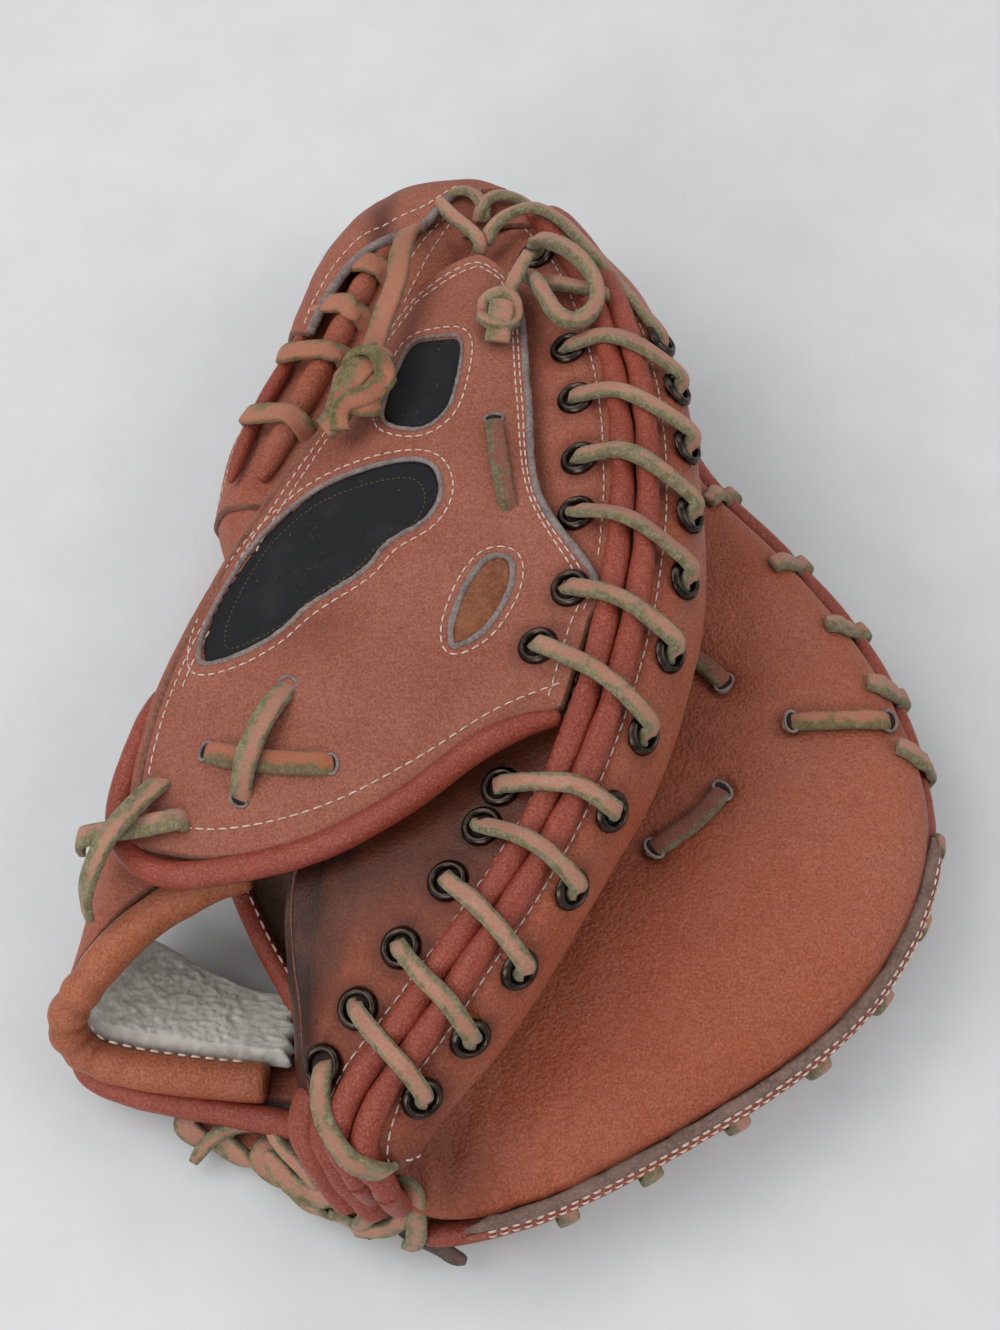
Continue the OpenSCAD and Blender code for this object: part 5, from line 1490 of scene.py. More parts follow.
pocket = []
for k, ((a, b), skin) in enumerate(zip(POCKET, (DARK_LACE, DARK_LACE, WEB_LACE))):
    a, b = np.array(a), np.array(b)
    ts = np.array([-0.06, 0.03, 0.2, 0.5, 0.8, 0.97, 1.06])
    u, s = (a + ts[:, None] * (b - a)).T
    path = palm_at(u, s, np.array([-5.0, -0.9, 0.2, 0.5, 0.2, -0.9, -5.0]))
    pocket.append(lace("p%d" % k, path, [UP] * 7, 5.4, LACE_T, 101 + k, 0.8, material=skin))
pocket_lace = join("pocket_lace_lengths", pocket)
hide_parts("pocket_laces")
ends = []
for a, b in pocket_ends:
    ends += [(p - 0.5 * UP, UP, b - a, 6.4) for p in (a, b)]
pocket_slits = slit_holes("pocket_slits", ends)

# Rim: raw felt edge, double stitched strip below it, and the binding
strip_us = steps(0.015, 0.235, 260)


def rim_section(name, us, outline, material, seed, rough=0.15):
    """Band along the rim whose section is a closed outline of (out, down) points."""
    outline = np.asarray(outline, float)
    rows, count = len(us), len(outline)
    mid = outline.mean(0)
    size = 0.35 + 0.65 * np.minimum(1, from_ends(rows) / 10)
    section = mid + (outline - mid) * size[:, None, None]
    u = np.repeat(us[:, None], count, 1)
    points = rim_point(u, section[..., 0], section[..., 1])
    points = points + rough * bumps(points, 5, seed)[..., None] * rim_out(u)
    faces = [list(f) for f in grid_faces(rows, count, 0, False, True)]
    faces += [list(range(count)), list(range((rows - 1) * count, rows * count))]
    obj = make_mesh(name, points.reshape(-1, 3), faces, [material])
    fix_outward(obj)
    return obj


felt_edge = rim_section("rim_felt_edge", strip_us,
                        [[-2.6, -0.5], [-1.8, -0.9], [-0.5, -1.0], [0.7, -0.6], [1.2, 0.3], [0.7, 1.2],
                         [-1.0, 1.4], [-2.4, 0.8]], STRIP_FELT, 51, 0.5)
strip_piece = rim_section("rim_stitched_strip", strip_us,
                          [[-0.4, 0.8], [0.9, 0.5], [1.7, 1.0], [2.3, 2.0], [2.5, 3.2], [2.2, 4.3],
                           [1.5, 4.9], [0.2, 4.6], [-0.8, 2.6]], DUSTY, 52)
strip_rows = []
for k, (out_by, down_by) in enumerate(((1.1, 0.2), (2.05, 1.35))):
    u = strip_us[8:-8]
    line = rim_point(u, out_by + 0.05, down_by)
    dirs = unit(rim_out(u) * (0.6 + 0.5 * k) + np.array([0, 0, 1.1 - 0.4 * k]))
    strip_rows.append(stitches("r%d" % k, line, dirs, 2.4, 0.8, 0.36))
strip_sewing = join("rim_strip_stitches", strip_rows)
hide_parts("finger_rim_strip")
binding_drop = 4.4 + GAP + RIM_D / 2
rim_holes = range(1, RIM_WRAPS + 1)
rim_run = steps(0, OPEN_END, 420)


def flare(u):
    """The binding stands further out beyond the end of the felt strip."""
    return 3.4 * np.clip((np.asarray(u, float) - 0.25) / 0.08, 0, 1)


rim_path = rim_point(rim_run, -1.5 + flare(rim_run), binding_drop - 0.7 * flare(rim_run))
wrap_marks = np.array([rim_point(u, -1.5 + flare(u), binding_drop) for u in map(wrap_u, rim_holes)])
rim_squeeze = pinched(rim_path, wrap_marks, 0.16, 4.5)
rim_piping = tube("rim_piping", rim_path, RIM_D, [PIPING], rim_squeeze, 20, seed=53)
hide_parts("finger_rim_binding")

# Laces from the palm over the rim and the binding to the eyelets below; the first ones start at the strip
rim_wrap_laces = []
half = LACE_T / 2 + GAP
for i in rim_holes:
    u = wrap_u(i)
    o, e = rim_out(u), rim_hole(i)
    hole_run = flat_to(e[0] - rim_point(u, 0, 14.4), e[1])
    covered = u < 0.24
    start = [over_palm(u, 9, half), over_palm(u, 5, half + 0.6), rim_point(u, -2.2, -5.2),
             rim_point(u, 0.9, -0.6), rim_point(u, 2.1, 3.6)]
    ups = [o + [0, 0, 3], o + [0, 0, 2.2], o + [0, 0, 1.2], o + [0, 0, 0.5], o]
    if covered:
        start = [rim_point(u, 0.6, 3.6), rim_point(u, 2.0, 5.4)]
        ups = [o + [0, 0, 0.6], o]
    out_binding = -1.5 + RIM_D / 2 + half + flare(u)
    path = start + [rim_point(u, out_binding, binding_drop - 0.7 * flare(u)),
                    rim_point(u, 2.7 + 0.7 * flare(u), 14.6), under_back(u, 1, 3.6),
                    e[0] - 4.6 * hole_run + 4.2 * e[1], e[0] - 0.8 * hole_run + 3.2 * e[1],
                    e[0] + 1.6 * hole_run + 0.2 * e[1]]
    ups = ups + [o, o - [0, 0, 0.7], o - [0, 0, 2], e[1], e[1], e[1]]
    rim_wrap_laces.append(lace("q%d" % i, path, ups, 5.8, LACE_T, 120 + i, 0.8))
rim_laces = join("rim_wrap_laces", rim_wrap_laces)
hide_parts("finger_rim_lacing")
rim_set = eyelet_set("rim_eyelet_rings", [rim_hole(i) for i in rim_holes])
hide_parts("finger_eyelets")

# Back leather with the seams between its fingers
rim_seats = [rim_hole(i)[0] for i in rim_holes]
share = np.concatenate([[0.004, 0.05], steps(0.1, 1, 70)])
u_g, s_g = polar(share)
outer = np.concatenate([disc_point(u_g, s_g), back_z(u_g, s_g)[..., None]], -1)
inner = outer + BACK_T * UP
seam_pts = []
for k, (x0, x1) in enumerate(((66, 52), (42, 22), (12, -12), (-22, -40), (-52, -62))):
    low_end, high_end = np.array([x0, 20 + 4 * k, 0]), np.array([x1, 128, 0])
    seam_pts.append(low_end + steps(0, 1, 60)[:, None] * (high_end - low_end))
flat = outer * [1, 1, 0]
groove = np.zeros(flat.shape[:-1])
for line in seam_pts:
    groove = np.maximum(groove, pressed(flat, line, 1, 1.8))
near_hole = around_holes(outer, rim_seats, 1.8)
outer[..., 2] += 0.7 * groove - near_hole + 0.25 * (bumps(outer, 24, 61) + 1) * np.clip(s_g, 0.3, 1)
scrape = spots(outer, [(40, -60, 2, 40, 0.5), (-10, 60, 2, 50, 0.4), (70, 20, 5, 30, 0.4)])
dust = 0.2 + scrape * (0.5 + 0.5 * bumps(outer, 18, 62))
finger_back = shell("finger_back_leather", outer, inner, [BACK, FLESH, RAW],
                    mask_of(outer, 0.3 * scrape, dust, 0.5 * groove), wrap=True)
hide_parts("finger_back_shell")
back_rows = []
for line in seam_pts:
    for shift in (-2.6, 2.6):
        lay, n = settle(resample(line + [shift, 0, 0], 1.5), outer, -1)
        n = np.where(n[:, 2:] > 0, -n, n)
        back_rows.append(stitches("b%d" % len(back_rows), lay, n, 2.6, 1.0, 0.4))
back_sewing = join("finger_back_stitches", back_rows)

share = np.concatenate([[0.004, 0.06], steps(0.12, 0.94, 40)])
u_g, s_g = polar(share)
t_g = s_g * stop_share(u_g, LINING_LEFT)
plan = disc_point(u_g, t_g)
inner_top = np.concatenate([plan, (space_z(u_g, t_g) + LINING_T)[..., None]], -1)
inner_low = np.concatenate([plan, space_z(u_g, t_g)[..., None]], -1)
wobble = 0.25 * bumps(inner_low, 22, 63)[..., None] * UP
dark_wear = mask_of(inner_top, 0.35 + 0.3 * bumps(inner_top, 25, 64))
finger_lining = shell("finger_lining_leather", inner_top + wobble, inner_low + wobble,
                      [LINING, LINING, RAW], dark_wear, wrap=True)
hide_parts("finger_lining")
pad_gap = GAP + 0.4
pad_top = palm_at(u_g, s_g, -PALM_T - pad_gap)
t_g = s_g * PALM_SHARE * stop_share(u_g, PALM_LEFT)
pad_low = np.concatenate([disc_point(u_g, t_g), (space_z(u_g, t_g) + LINING_T + pad_gap)[..., None]], -1)
finger_pad = shell("finger_padding", pad_top, pad_low, [PADDING] * 3, wrap=True)
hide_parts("finger_pad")

hand_us, hand_d = steps(0.82, 0.94, 90), WRIST_D - 2
hand_path = rim_point(hand_us, -1, RIM_DROP - BACK_T - 0.4 - hand_d / 2)
hand_piping = tube("hand_opening_piping", hand_path, hand_d, [PIPING], None, 24, seed=65)
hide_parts("finger_wrist_binding")
piping_row = hand_path + (hand_d / 2 - 0.2) * UP - 1.6 * rim_out(hand_us)
hand_ups = np.repeat([[0.4, 0, 1.0]], len(hand_us), 0)
hand_sewing = stitches("hand_opening_stitches", piping_row, hand_ups, 2.8, 0.9, 0.4)

heel_inner = [[-94, -121, 3], [-80, -124, 3], [-66, -128, 3.2], [-54, -139, 5], [-42, -153, 8]]
heel_outer = [[-88, -129, 4], [-75, -134, 4.5], [-61, -141, 5.5], [-49, -150, 8], [-35, -161, 11]]
heel_net = [heel_inner, heel_outer]
u_h, v_h = grid_of(steps(0, 1, 90), steps(0, 1, 30))
base = over(heel_net, u_h, v_h, 0, 1)
out = -face_dir(heel_net, u_h, v_h)
heel_piece = shell("heel_strip_leather", base + (BACK_T + 0.25 * bumps(base, 9, 66))[..., None] * out,
                   base, [BACK, FLESH, RAW], mask_of(base, dust=0.4))
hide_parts("heel_strip")
heel_wraps = []
for k, t in enumerate((0.1, 0.3, 0.5, 0.7)):
    p, q, r = along(heel_outer, t - 0.07), along(heel_outer, t + 0.03), along(heel_outer, t + 0.1)
    side = unit(np.cross(q - p, [0, 0, 1]))
    side = side if side[1] < 0 else -side
    h = BACK_T + GAP + LACE_T / 2 + 0.2
    path = [p - 6.5 * side + [0, 0, h - 2], p - 3.5 * side + [0, 0, h], p + 0.6 * side + [0, 0, h - 0.6],
            q + 2.2 * side + [0, 0, 1.2], r + 2.0 * side - [0, 0, 0.6], r - 0.8 * side - [0, 0, 2]]
    ups = [UP, UP, UP + 0.3 * side, 0.8 * UP + side, side, side - 0.6 * UP]
    heel_wraps.append(lace("h%d" % k, path, ups, 6.4, LACE_T, 140 + k, 0.9, both=0.3))
heel_laces = join("heel_wrap_laces", heel_wraps)
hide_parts("heel_lacing")
heel_paths = (
    ([[-84, -139, 4.5], [-81.5, -136.6, 7.5], [-77.4, -133.4, 10], [-71.8, -131.4, 11.6],
      [-64.6, -131.4, 12.4], [-57, -134.3, 12], [-53.5, -137, 9.5]], [-0.2, -0.9, 0.6], 3.8, 1.0),
    ([[-63, -131, 11.5], [-61.9, -133.5, 14.2], [-58.5, -138.1, 16], [-53.6, -142.8, 16.6],
      [-49.6, -147.2, 14.6], [-47, -150, 11]], [-0.6, -0.5, 0.7], 4.0, 1.0),
    ([[-53.6, -134.8, 15.6], [-52.9, -136.9, 18.4], [-49.7, -143.6, 21], [-45.6, -149.2, 23],
      [-40, -153.8, 25.4], [-35.6, -154.4, 29], [-31.6, -152.4, 35.5], [-29.4, -150, 43],
      [-29, -148.5, 48]], [-0.4, -0.9, 0.6], 4.4, 1.0),
    ([[-63.5, -138.6, 9], [-59.5, -143.2, 11.6], [-55, -147.4, 12], [-50, -149.8, 12.4],
      [-45.5, -150.4, 15], [-43.4, -148.6, 18]], [-0.1, -0.7, 0.9], 6.2, 0.3),
    ([[-44.5, -154.4, 11], [-41.7, -156.4, 15.5], [-37.4, -158.6, 19.4], [-34.6, -157.4, 25],
      [-32.6, -154, 33], [-31.3, -150.4, 42], [-31.5, -148, 47]], [0.2, -1, 0.5], 5.0, 0.6),
    ([[-38.4, -158.8, 13.4], [-34.4, -159.6, 17], [-28.4, -159.4, 21.4], [-23.8, -156.4, 27],
      [-23, -152.6, 32.5]], [-0.1, -0.9, 0.7], 4.6, 0.3),
    ([[-25.4, -149.4, 33], [-23.8, -151.6, 35.6], [-22, -154, 34], [-21.6, -158.2, 27], [-22.2, -162.4, 18],
      [-24.4, -163, 12.6]], [0, -0.9, 0.6], 5.4, 0.8))
heel_ties = []
for k, (path, up, wide, both) in enumerate(heel_paths):
    heel_ties.append(lace("ht%d" % k, path, [up] * len(path), wide, 2.3, 151 + k, 0.7, both=both))
heel_binding = join("heel_binding_laces", heel_ties)
tail_path = [[-27, -158.5, 12.6], [-19.6, -161.4, 12], [-15.8, -162.9, 10.4], [-12.4, -164.9, 8.8],
             [-9, -165.9, 8]]
heel_tail = lace("heel_tail_lace", tail_path, [[0.2, -0.6, 1]] * 5, 4.6, LACE_T, 150, 0.35,
                 material=OLD_LACE)
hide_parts("heel_lace_tail")

for piece in (finger_palm, pocket_lace, pocket_slits, felt_edge, strip_piece, strip_sewing, rim_piping,
              rim_laces, rim_set, finger_back, back_sewing, finger_lining, finger_pad, hand_piping,
              hand_sewing, heel_piece, heel_laces, heel_tail):
    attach(piece, FINGER)


# ---- Pieces that cross the fold --------------------------------------------------
# Heights (mm) handed to across() for the web and the strap, which cross from one half to the other
WEB_BLEND, STRAP_BLEND = (24, 48), (22, 44)


def across(piece, name, z0, z1):
    """Bakes the piece's placement into its mesh; name, z0 and z1 are not used."""
    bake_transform(piece)


# The heel laces hold both halves together
across(heel_binding, "lace", 22, 50)
fold_x = -41.0
palm_fold_net = [
    [[p[0] - 1.6, p[1], p[2]] for p in crease_line],
    [[p[0] - 8, p[1], p[2] - 2.6] for p in crease_line],
    [[fold_x, p[1], (p[2] + FOLD_Z) / 2] for p in crease_line],
    [[fold_x + 5, p[1], FOLD_Z] for p in crease_line],
    [[-26.36, p[1], FOLD_Z - 0.3] for p in crease_line]]
lining_fold_net = [
    [[p[0] - 0.5, p[1], p[2] - 1] for p in lining_left],
    [[p[0] - 2.5, p[1], p[2] - 7] for p in lining_left],
    [[p[0] - 3.5, p[1], 38] for p in lining_left],
    [[p[0] - 2, p[1], 24] for p in lining_left],
    [[-39.48, p[1], 15] for p in lining_left]]


def fold_lift(p):
    return 0.3 * bumps(p * [1, 1.6, 1], 14, 71)


top, low = sheet_grid(palm_fold_net, steps(0.01, 0.95, 170), 0, 1, 34, 1, PALM_T, 0, fold_lift)
crease = shell("palm_crease_leather", top, low, [FLESH, PALM, RAW], mask_of(top, dust=0.2))
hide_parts("palm_crease")
across(crease, "palm_leather", 37, 44)
top, low = sheet_grid(lining_fold_net, steps(0.05, 0.68, 150), 0, 1, 44, 1, 0, -LINING_T, fold_lift)
# Painted shade: the lining in the fold is drawn nearly black (0.95 of the wear colour), standing in for the
# shade between the halves.
fold_leather = shell("fold_lining_leather", top, low, [LINING, LINING, RAW], mask_of(top, 0.95))
fold_paths = (
    [[-47, -129, 44], [-49.5, -136.5, 41.5], [-46.6, -143.4, 37.4], [-42.2, -149, 31], [-38, -153.6, 24]],
    [[-42, -133, 47], [-43.4, -140.4, 45], [-39.6, -147, 39.6], [-35.6, -151.4, 33], [-31, -155.4, 25]])
heel_folds = [tube("heel_fold%d" % k, resample(path, 1.0), 8.4, [PIPING], None, 20, seed=74 + k,
                   rough=0.08, broad=1.25) for k, path in enumerate(fold_paths)]
fold_leather = join("fold_lining_leather", [fold_leather] + heel_folds)
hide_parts("fold_lining")
across(fold_leather, "lining_leather", 18, 45)

web_tuck = [[-50, 36, 47], [-38, 58, 48], [-28, 82, 48.5], [-19, 104, 49], [-10, 124, 49], [-5, 136, 48]]
web_net = [
    [[-56, 38, 50.5], [-45, 60, 51.5], [-36, 84, 52.5], [-28, 106, 54], [-20, 126, 55.5], [-13, 141, 56]],
    [[-69, 41, 50.5], [-57, 68, 51.5], [-46, 94, 52.5], [-37, 116, 54], [-28, 134, 55], [-15, 149, 54]],
    [[-80, 44, 44], [-74, 70, 45], [-61, 98, 46], [-49, 121, 46], [-35, 141, 46], [-17, 152, 46]],
    [[-85, 46, 30], [-81, 75, 30], [-67, 103, 30], [-52, 129, 30], [-37, 147, 31], [-18, 155, 31]],
    [[-83, 47, 16.5], [-79, 80, 17], [-68, 108, 18], [-53, 132, 19], [-34, 146, 19.2], [-14, 150, 19]]]
hood_net = [
    [[-60, 93, 54.5], [-53, 110.5, 57.5], [-45, 123.5, 59.5], [-36.5, 130.5, 60.5], [-24.5, 136, 61],
     [-14, 149.5, 60]],
    [[-64, 96, 51], [-58.5, 114.5, 53], [-51, 130.5, 55], [-41, 143, 57], [-25.5, 151.5, 58],
     [-10, 157, 56]],
    [[-66, 100, 42], [-60.5, 121, 42], [-53, 138.5, 43], [-42.5, 154, 44], [-26, 164.5, 44],
     [-8, 162.5, 44]],
    [[-67, 102, 31], [-61, 125, 31], [-52, 144, 31], [-41, 158, 32], [-24.5, 167, 32], [-6.5, 166, 32]],
    [[-64, 98, 25], [-57, 119, 23], [-47, 136, 23], [-35, 149, 23], [-20, 157, 24], [-6, 158, 25]]]
hood_ends = [[-4, 150.5, 59], [1, 154, 55], [4, 158, 44], [5.5, 160, 34], [5, 150, 26]]
hood_net = [rail + [end] for rail, end in zip(hood_net, hood_ends)]
WEB_PIPE = 5.0


def web_lift(p):
    return 0.35 * bumps(p, 22, 81) + 0.3 * bumps(p * [1.6, 0.8, 1], 11, 82)


top, low = sheet_grid([web_tuck] + web_net, steps(0, 1, 130), 0, 1, 74, 1, BACK_T, 0, web_lift)
web_top = top
web = shell("web_leather", top, low, [BACK, FLESH, RAW],
            mask_of(top, dust=0.45 + 0.4 * bumps(top, 20, 83)))
web_end_net = [[[-24, 130, 53.5], [-15, 135, 55.5], [-6, 138, 57.4], [3, 138.5, 60], [12, 137, 61]],
               [[-22, 137, 56], [-15, 143, 57.5], [-6, 146, 59], [3, 145, 60], [12, 142.5, 59.5]],
               [[-21, 145, 57], [-14, 151.5, 58], [-5, 153.5, 58], [4, 151.5, 57], [12, 148, 55]],
               [[-20, 150, 50], [-14, 156, 50], [-5, 158, 49], [5, 156, 47], [12, 151, 46]]]
top, low = sheet_grid(web_end_net, steps(0, 1, 60), 0, 1, 40, 1, 1.2, -1.2, web_lift)
web_end = shell("web_end_leather", top, low, [BACK, FLESH, RAW], mask_of(top, dust=0.4))
web_start_net = [[[-49, 12, 48], [-51, 24, 49], [-55, 38, 49.5], [-50, 50, 50]],
                 [[-60, 12, 48], [-63, 24, 49], [-68, 41, 49.5], [-63, 54, 50]],
                 [[-70, 14, 42], [-74, 28, 42.6], [-79, 44, 43], [-77, 57, 43.4]],
                 [[-75, 16, 29], [-79, 30, 30], [-84, 46, 30], [-82.4, 60, 30]],
                 [[-73, 18, 16], [-77.6, 32, 16.5], [-81.6, 47, 16.5], [-80.4, 62, 17]]]
top, low = sheet_grid(web_start_net, steps(0, 1, 60), 0, 1, 50, 1, BACK_T - 0.4, 0, web_lift)
web_start = shell("web_start_leather", top, low, [BACK, FLESH, RAW], mask_of(top, dust=0.4))
web = join("web_leather", [web, web_end, web_start])
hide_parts("web_panel")
across(web, "back_leather", *WEB_BLEND)
web_rows = [over(web_net, steps(0.03, 0.96, 30), v, BACK_T, 1) for v in (0.07, 0.16, 0.6, 0.9)]
web_sewing = join("web_stitches", [sewn("v%d" % k, line, web_top, 1, WEB_STITCH, gap=0.7)
                                   for k, line in enumerate(web_rows)])
across(web_sewing, "lace", *WEB_BLEND)


def hood_lift(p):
    fold = bell(p[..., 0], -37, 4) * bell(p[..., 2], 60, 9)
    return 0.55 * bumps(p, 20, 84) + 0.35 * bumps(p * [0.8, 1.8, 1], 9, 85) - 1.6 * fold


top, low = sheet_grid(hood_net, steps(0.06, 1, 140), 0, 1, 70, 1, BACK_T, 0, hood_lift)
fold = bell(top[..., 0], -37, 4) * bell(top[..., 2], 61, 7)
hood = shell("web_hood_leather", top, low, [DUSTY, FLESH, RAW],
             mask_of(top, 0.8 * fold, 0.65 + 0.4 * bumps(top, 16, 86), 0.6 * fold))
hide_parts("web_hood")
across(hood, "worn_leather", *WEB_BLEND)
hood_rows = [over(hood_net, steps(0.08, 0.82, 30), v, BACK_T, 1) for v in (0.11, 0.68)]
hood_sewing = join("hood_stitches", [sewn("y%d" % k, line, top, 1, WEB_STITCH)
                                     for k, line in enumerate(hood_rows)])
across(hood_sewing, "lace", *WEB_BLEND)
edge_us = steps(0.06, 0.96, 110)
edge = over(hood_net, edge_us, 0, 1.2, 1)
hood_edge = flat_ring("hood_raw_edge", edge, face_dir(hood_net, edge_us, 0), 2.8, 3.0, FELT, False, 9)
across(hood_edge, "lace", *WEB_BLEND)
pipes = []
web_marks = np.array([0.2, 0.36, 0.5, 0.64])
for k, (v, d, squeeze, skin) in enumerate(((0.31, 8.0, 0.3, BACK), (0.46, WEB_PIPE, 0.15, PIPING))):
    path = over(web_net, steps(0.05, 0.8, 150), v, BACK_T + GAP + WEB_PIPE / 2 - 0.15 * (d - WEB_PIPE), 1)
    fading = 1 - 0.6 * np.exp(-steps(0, 1, 150) / 0.05) - 0.5 * np.exp(-steps(1, 0, 150) / 0.1)
    marks = over(web_net, web_marks, v, BACK_T + GAP + WEB_PIPE / 2, 1)
    swell = pinched(path, marks, squeeze, 4) * fading
    pipes.append(tube("wp%d" % k, path, d, [skin], swell, 20, seed=87 + k, rough=0.06))
web_pipes = join("web_pipings", pipes)
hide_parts("web_bindings")
across(web_pipes, "binding", *WEB_BLEND)
web_crossings = []
over_pipe = WEB_PIPE + GAP + LACE_T / 2 + 0.3
web_vs = np.array([0.22, 0.24, 0.27, 0.32, 0.43, 0.475, 0.495, 0.51])
web_h = np.array([-1.5, over_pipe - 3.2, over_pipe - 1, over_pipe, over_pipe, over_pipe - 1.5, 1.2, -1.5])
for k, u in enumerate((0.2, 0.36, 0.5, 0.64)):
    lean = 0.012 * (rng.rand(8) - 0.5) + (0.02, -0.015, 0.01, -0.01)[k] * steps(-1, 1, 7)
    path = over(web_net, u + lean, web_vs, BACK_T + GAP + web_h, 1)
    web_crossings.append(lace("wl%d" % k, path, face_dir(web_net, u + lean, web_vs), 6.6, LACE_T, 160 + k,
                              material=WEB_LACE, edges=0.6))
web_cross = join("web_cross_laces", web_crossings)
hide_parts("web_laces")
across(web_cross, "lace", *WEB_BLEND)

# Wrist strap with its sheepskin, rolled edge and binding
strap_near = [[-68, -69, 45], [-81, -74, 44.5], [-98, -85, 42], [-110, -98, 38], [-117, -106.5, 29],
              [-113, -112, 20], [-102, -115, 17], [-83, -117, 17], [-64, -119, 17]]
strap_far = [[-74, -44, 42], [-88, -40, 41], [-100, -46, 38], [-108, -59, 32], [-110, -74, 23],
             [-106, -77, 12], [-98, -78, 7], [-83, -87, 6], [-65, -96, 6]]
strap_net = [strap_near, strap_far]


def strap_lift(p):
    return 0.35 * bumps(p, 20, 91) + 0.5 * bell(p[..., 0], -108, 10) * bumps(p * [0.6, 0.6, 2.2], 9, 92)


strap_us = steps(0, 1, 170)
top, low = sheet_grid(strap_net, strap_us, 0.205, 1, 44, -1, 3.0, GAP / 2, strap_lift)
# The end of the strap runs on into the mitt and widens there
inward = 24 * np.clip((strap_us - 0.9) / 0.1, 0, 1)[:, None]
spread_out = 11 * np.clip((strap_us - 0.84) / 0.08, 0, 1)[:, None]
for sheet in (top, low):
    sheet[..., 0] += inward
    sheet[..., 1] -= spread_out
strap = shell("wrist_strap_leather", top, low, [BACK, BACK, RAW], mask_of(top, dust=0.3))
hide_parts("wrist_strap")
across(strap, "back_leather", *STRAP_BLEND)


def wool_lift(p):
    curl = bumps(p + 0.8 * bumps(p, 4, 93)[..., None], 3.4, 94)
    return 0.4 * np.abs(curl) + 0.6 * bumps(p, 8, 95) + 0.4 * bumps(p, 1.3, 96) + 0.35 * bumps(p, 2.4, 89)


u, v = grid_of(steps(0, 1, 330), 0.13 + 0.84 * steps(0, 1, 90))
base = over(strap_net, u, v, 0, 1)
ragged = 0.06 * bumps(base, 5, 97) + 0.035 * bumps(base, 1.8, 98)
near_edge = np.exp(-(0.97 - v) / 0.04) + 0.2 * np.exp(-(v - 0.13) / 0.03)
v = np.clip(v + ragged * near_edge, 0.1, 1)
thin = np.clip(np.minimum(v - 0.1, 0.99 - v) / 0.09, 0.12, 1) ** 0.5
top = over(strap_net, u, v, 5.6 * thin, 1)
top = top + (wool_lift(top) * thin)[..., None] * face_dir(strap_net, u, v)
low = over(strap_net, u, v, GAP / 2, 1)
tuft = np.clip((u - 0.93) / 0.07, 0, 1) ** 1.5 * (6 + 4 * bumps(base * [0, 1, 1], 4, 90))
top[..., 0] += tuft
low[..., 0] += tuft
fleece = shell("strap_sheepskin", top, low, [WOOL, FLESH, WOOL])
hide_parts("strap_fleece")
across(fleece, "fleece", *STRAP_BLEND)

roll_rail = strap_near[:5] + [[-113.5, -112.6, 20], [-101.5, -116.4, 17.3], [-83, -118.9, 17],
                              [-63, -120.8, 17.4]]
roll_path = resample(roll_rail, 1.0)
run = steps(0, 1, len(roll_path) - 1)
squeeze = np.zeros(len(run))
for at, deep, wide in ((0.4, 0.1, 0.02), (0.46, 0.13, 0.015), (0.52, 0.16, 0.014), (0.575, 0.14, 0.014),
                       (0.63, 0.11, 0.016), (0.7, 0.05, 0.02), (0.2, 0.04, 0.03)):
    squeeze += deep * bell(run, at, wide)
mask = np.zeros((len(roll_path), 28, 4))
mask[..., 1] = 0.25
mask[..., 2] = (2.5 * squeeze)[:, None]
roll = tube("strap_roll", roll_path, ROLL_D, [ROLL], 1.02 - squeeze, 28, mask=mask, seed=99, rough=0.035)
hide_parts("strap_rolled_edge")
across(roll, "back_leather", *STRAP_BLEND)
roll_row = resample(over([roll_rail, strap_far], steps(0.53, 0.96, 40), 0.085, 5.6, 1), 1.2)
roll_sewing = stitches("strap_roll_stitches", roll_row, np.repeat([[0, -0.1, 1.0]], len(roll_row), 0),
                       2.6, 1.0, 0.36)
across(roll_sewing, "lace", *STRAP_BLEND)
strap_pipe_path = resample([[-115.5, -112, 14], [-112, -117.4, 12], [-100, -122.4, 11.6], [-78, -127, 12.6],
                            [-61, -130.6, 15], [-50, -134.4, 20]], 1.2)
strap_pipe = tube("strap_piping", strap_pipe_path, 7.6, [PIPING], None, 24, seed=100, rough=0.05)
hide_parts("strap_binding")
across(strap_pipe, "binding", 24, 44)
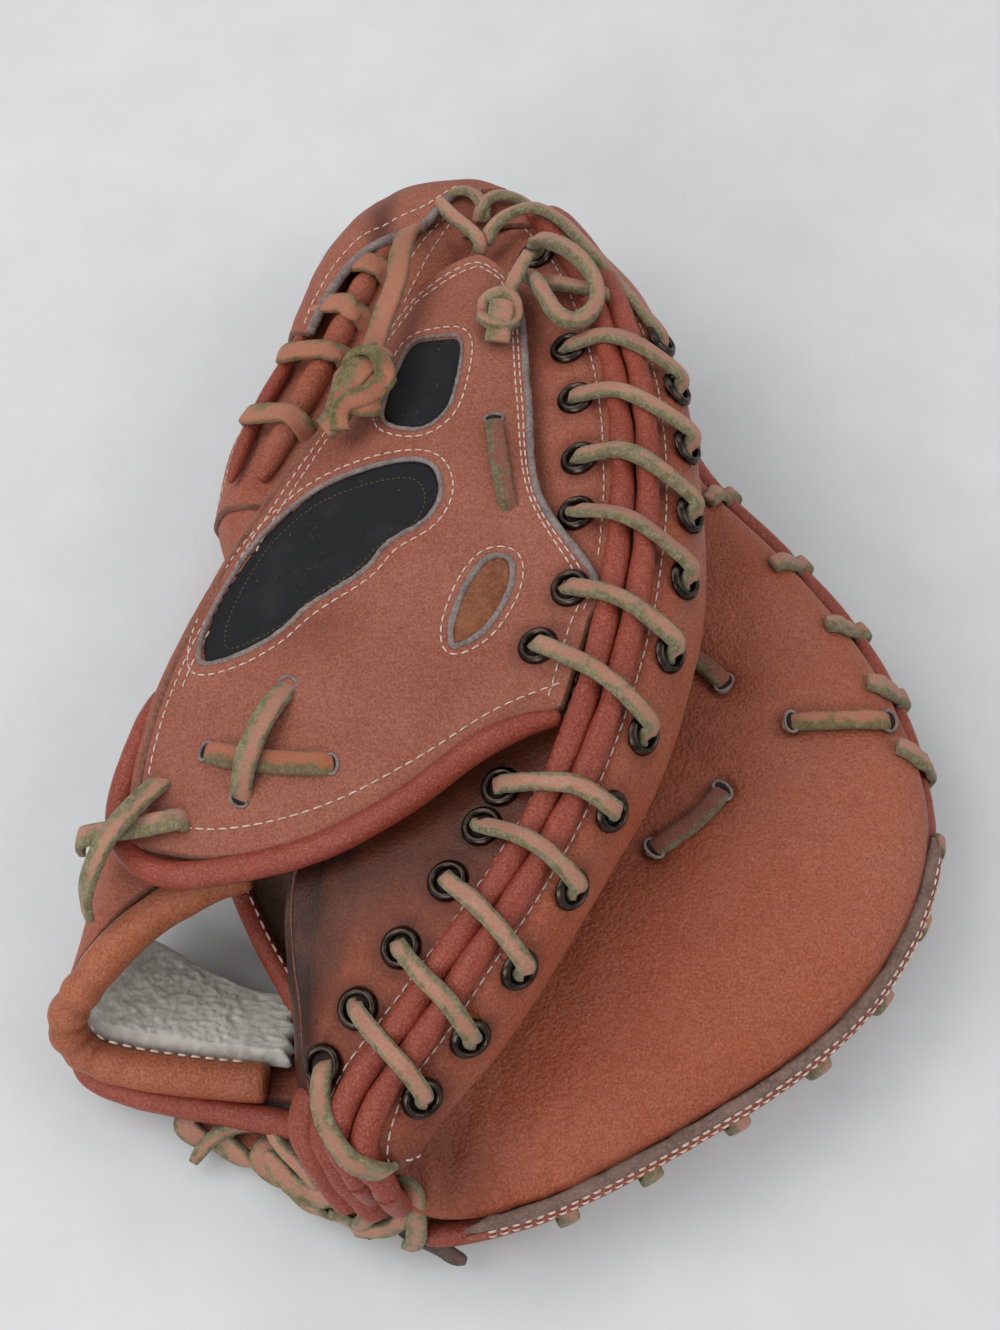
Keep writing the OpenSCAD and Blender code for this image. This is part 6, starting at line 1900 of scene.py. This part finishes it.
strap_tie_paths = (
    ([[-113, -64, 49], [-112, -64, 56], [-105, -64, 60.2], [-95, -63, 62], [-86, -62, 64.2],
      [-83, -61.5, 62]],
     [[-1, 0, 0.3], [-0.8, 0, 0.7], [-0.3, 0, 1], [-0.3, 0, 1], [-0.3, 0, 1], [0, 0, 1]]),
    ([[-90.4, -49.4, 60.2], [-92, -52, 63.3], [-98, -60, 65.4], [-104, -69, 64.8], [-109, -79, 57.8],
      [-110, -83, 48.5]],
     [[0, 0.6, 0.8], [-0.3, 0, 1], [-0.3, 0, 1], [-0.4, 0, 1], [-0.8, -0.3, 0.7], [-1, -0.4, 0.2]]))
ties = [lace("st%d" % k, path, ups, 6.0, LACE_T, 170 + k) for k, (path, ups) in enumerate(strap_tie_paths)]
strap_ties = join("strap_cross_ties", ties)
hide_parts("strap_tie_laces")
across(strap_ties, "lace", *STRAP_BLEND)

# ---- Floor, lights ------------------------------------------------------------------
floor = make_mesh("floor", np.array([[-2500, -2500, -0.2], [2500, -2500, -0.2], [2500, 2500, -0.2],
                                     [-2500, 2500, -0.2]]), [[0, 1, 2, 3]],
                  [plain("floor_paper", (0.62, 0.625, 0.63), (0.66, 0.665, 0.67), 30, 0.85, 0.2)])


def area_light(name, place, target, size, energy, colour=(1, 1, 1)):
    data = bpy.data.lights.new(name, "AREA")
    data.shape = "RECTANGLE"
    data.size, data.size_y = size
    data.energy = energy
    data.color = colour
    obj = bpy.data.objects.new(name, data)
    obj.location = place
    obj.rotation_euler = (Vector(place) - Vector(target)).to_track_quat("Z", "Y").to_euler()
    bpy.context.collection.objects.link(obj)


area_light("key", (-1.0, 0.15, 1.25), (0, 0, 0), (1.3, 1.1), 11.5)
area_light("fill", (1.3, -0.2, 1.1), (0.1, 0, 0), (1.2, 1.2), 7.5)
area_light("front", (-0.7, -1.2, 0.8), (0, 0, 0), (0.9, 0.6), 8)
area_light("top", (0.2, 0.9, 1.2), (0, 0, 0), (0.9, 0.6), 3)
world = bpy.data.worlds.new("studio")
world.use_nodes = True
world.node_tree.nodes["Background"].inputs["Color"].default_value = (0.93, 0.96, 1.0, 1)
world.node_tree.nodes["Background"].inputs["Strength"].default_value = 0.45
bpy.context.scene.world = world
bpy.context.scene.view_settings.view_transform = "Standard"
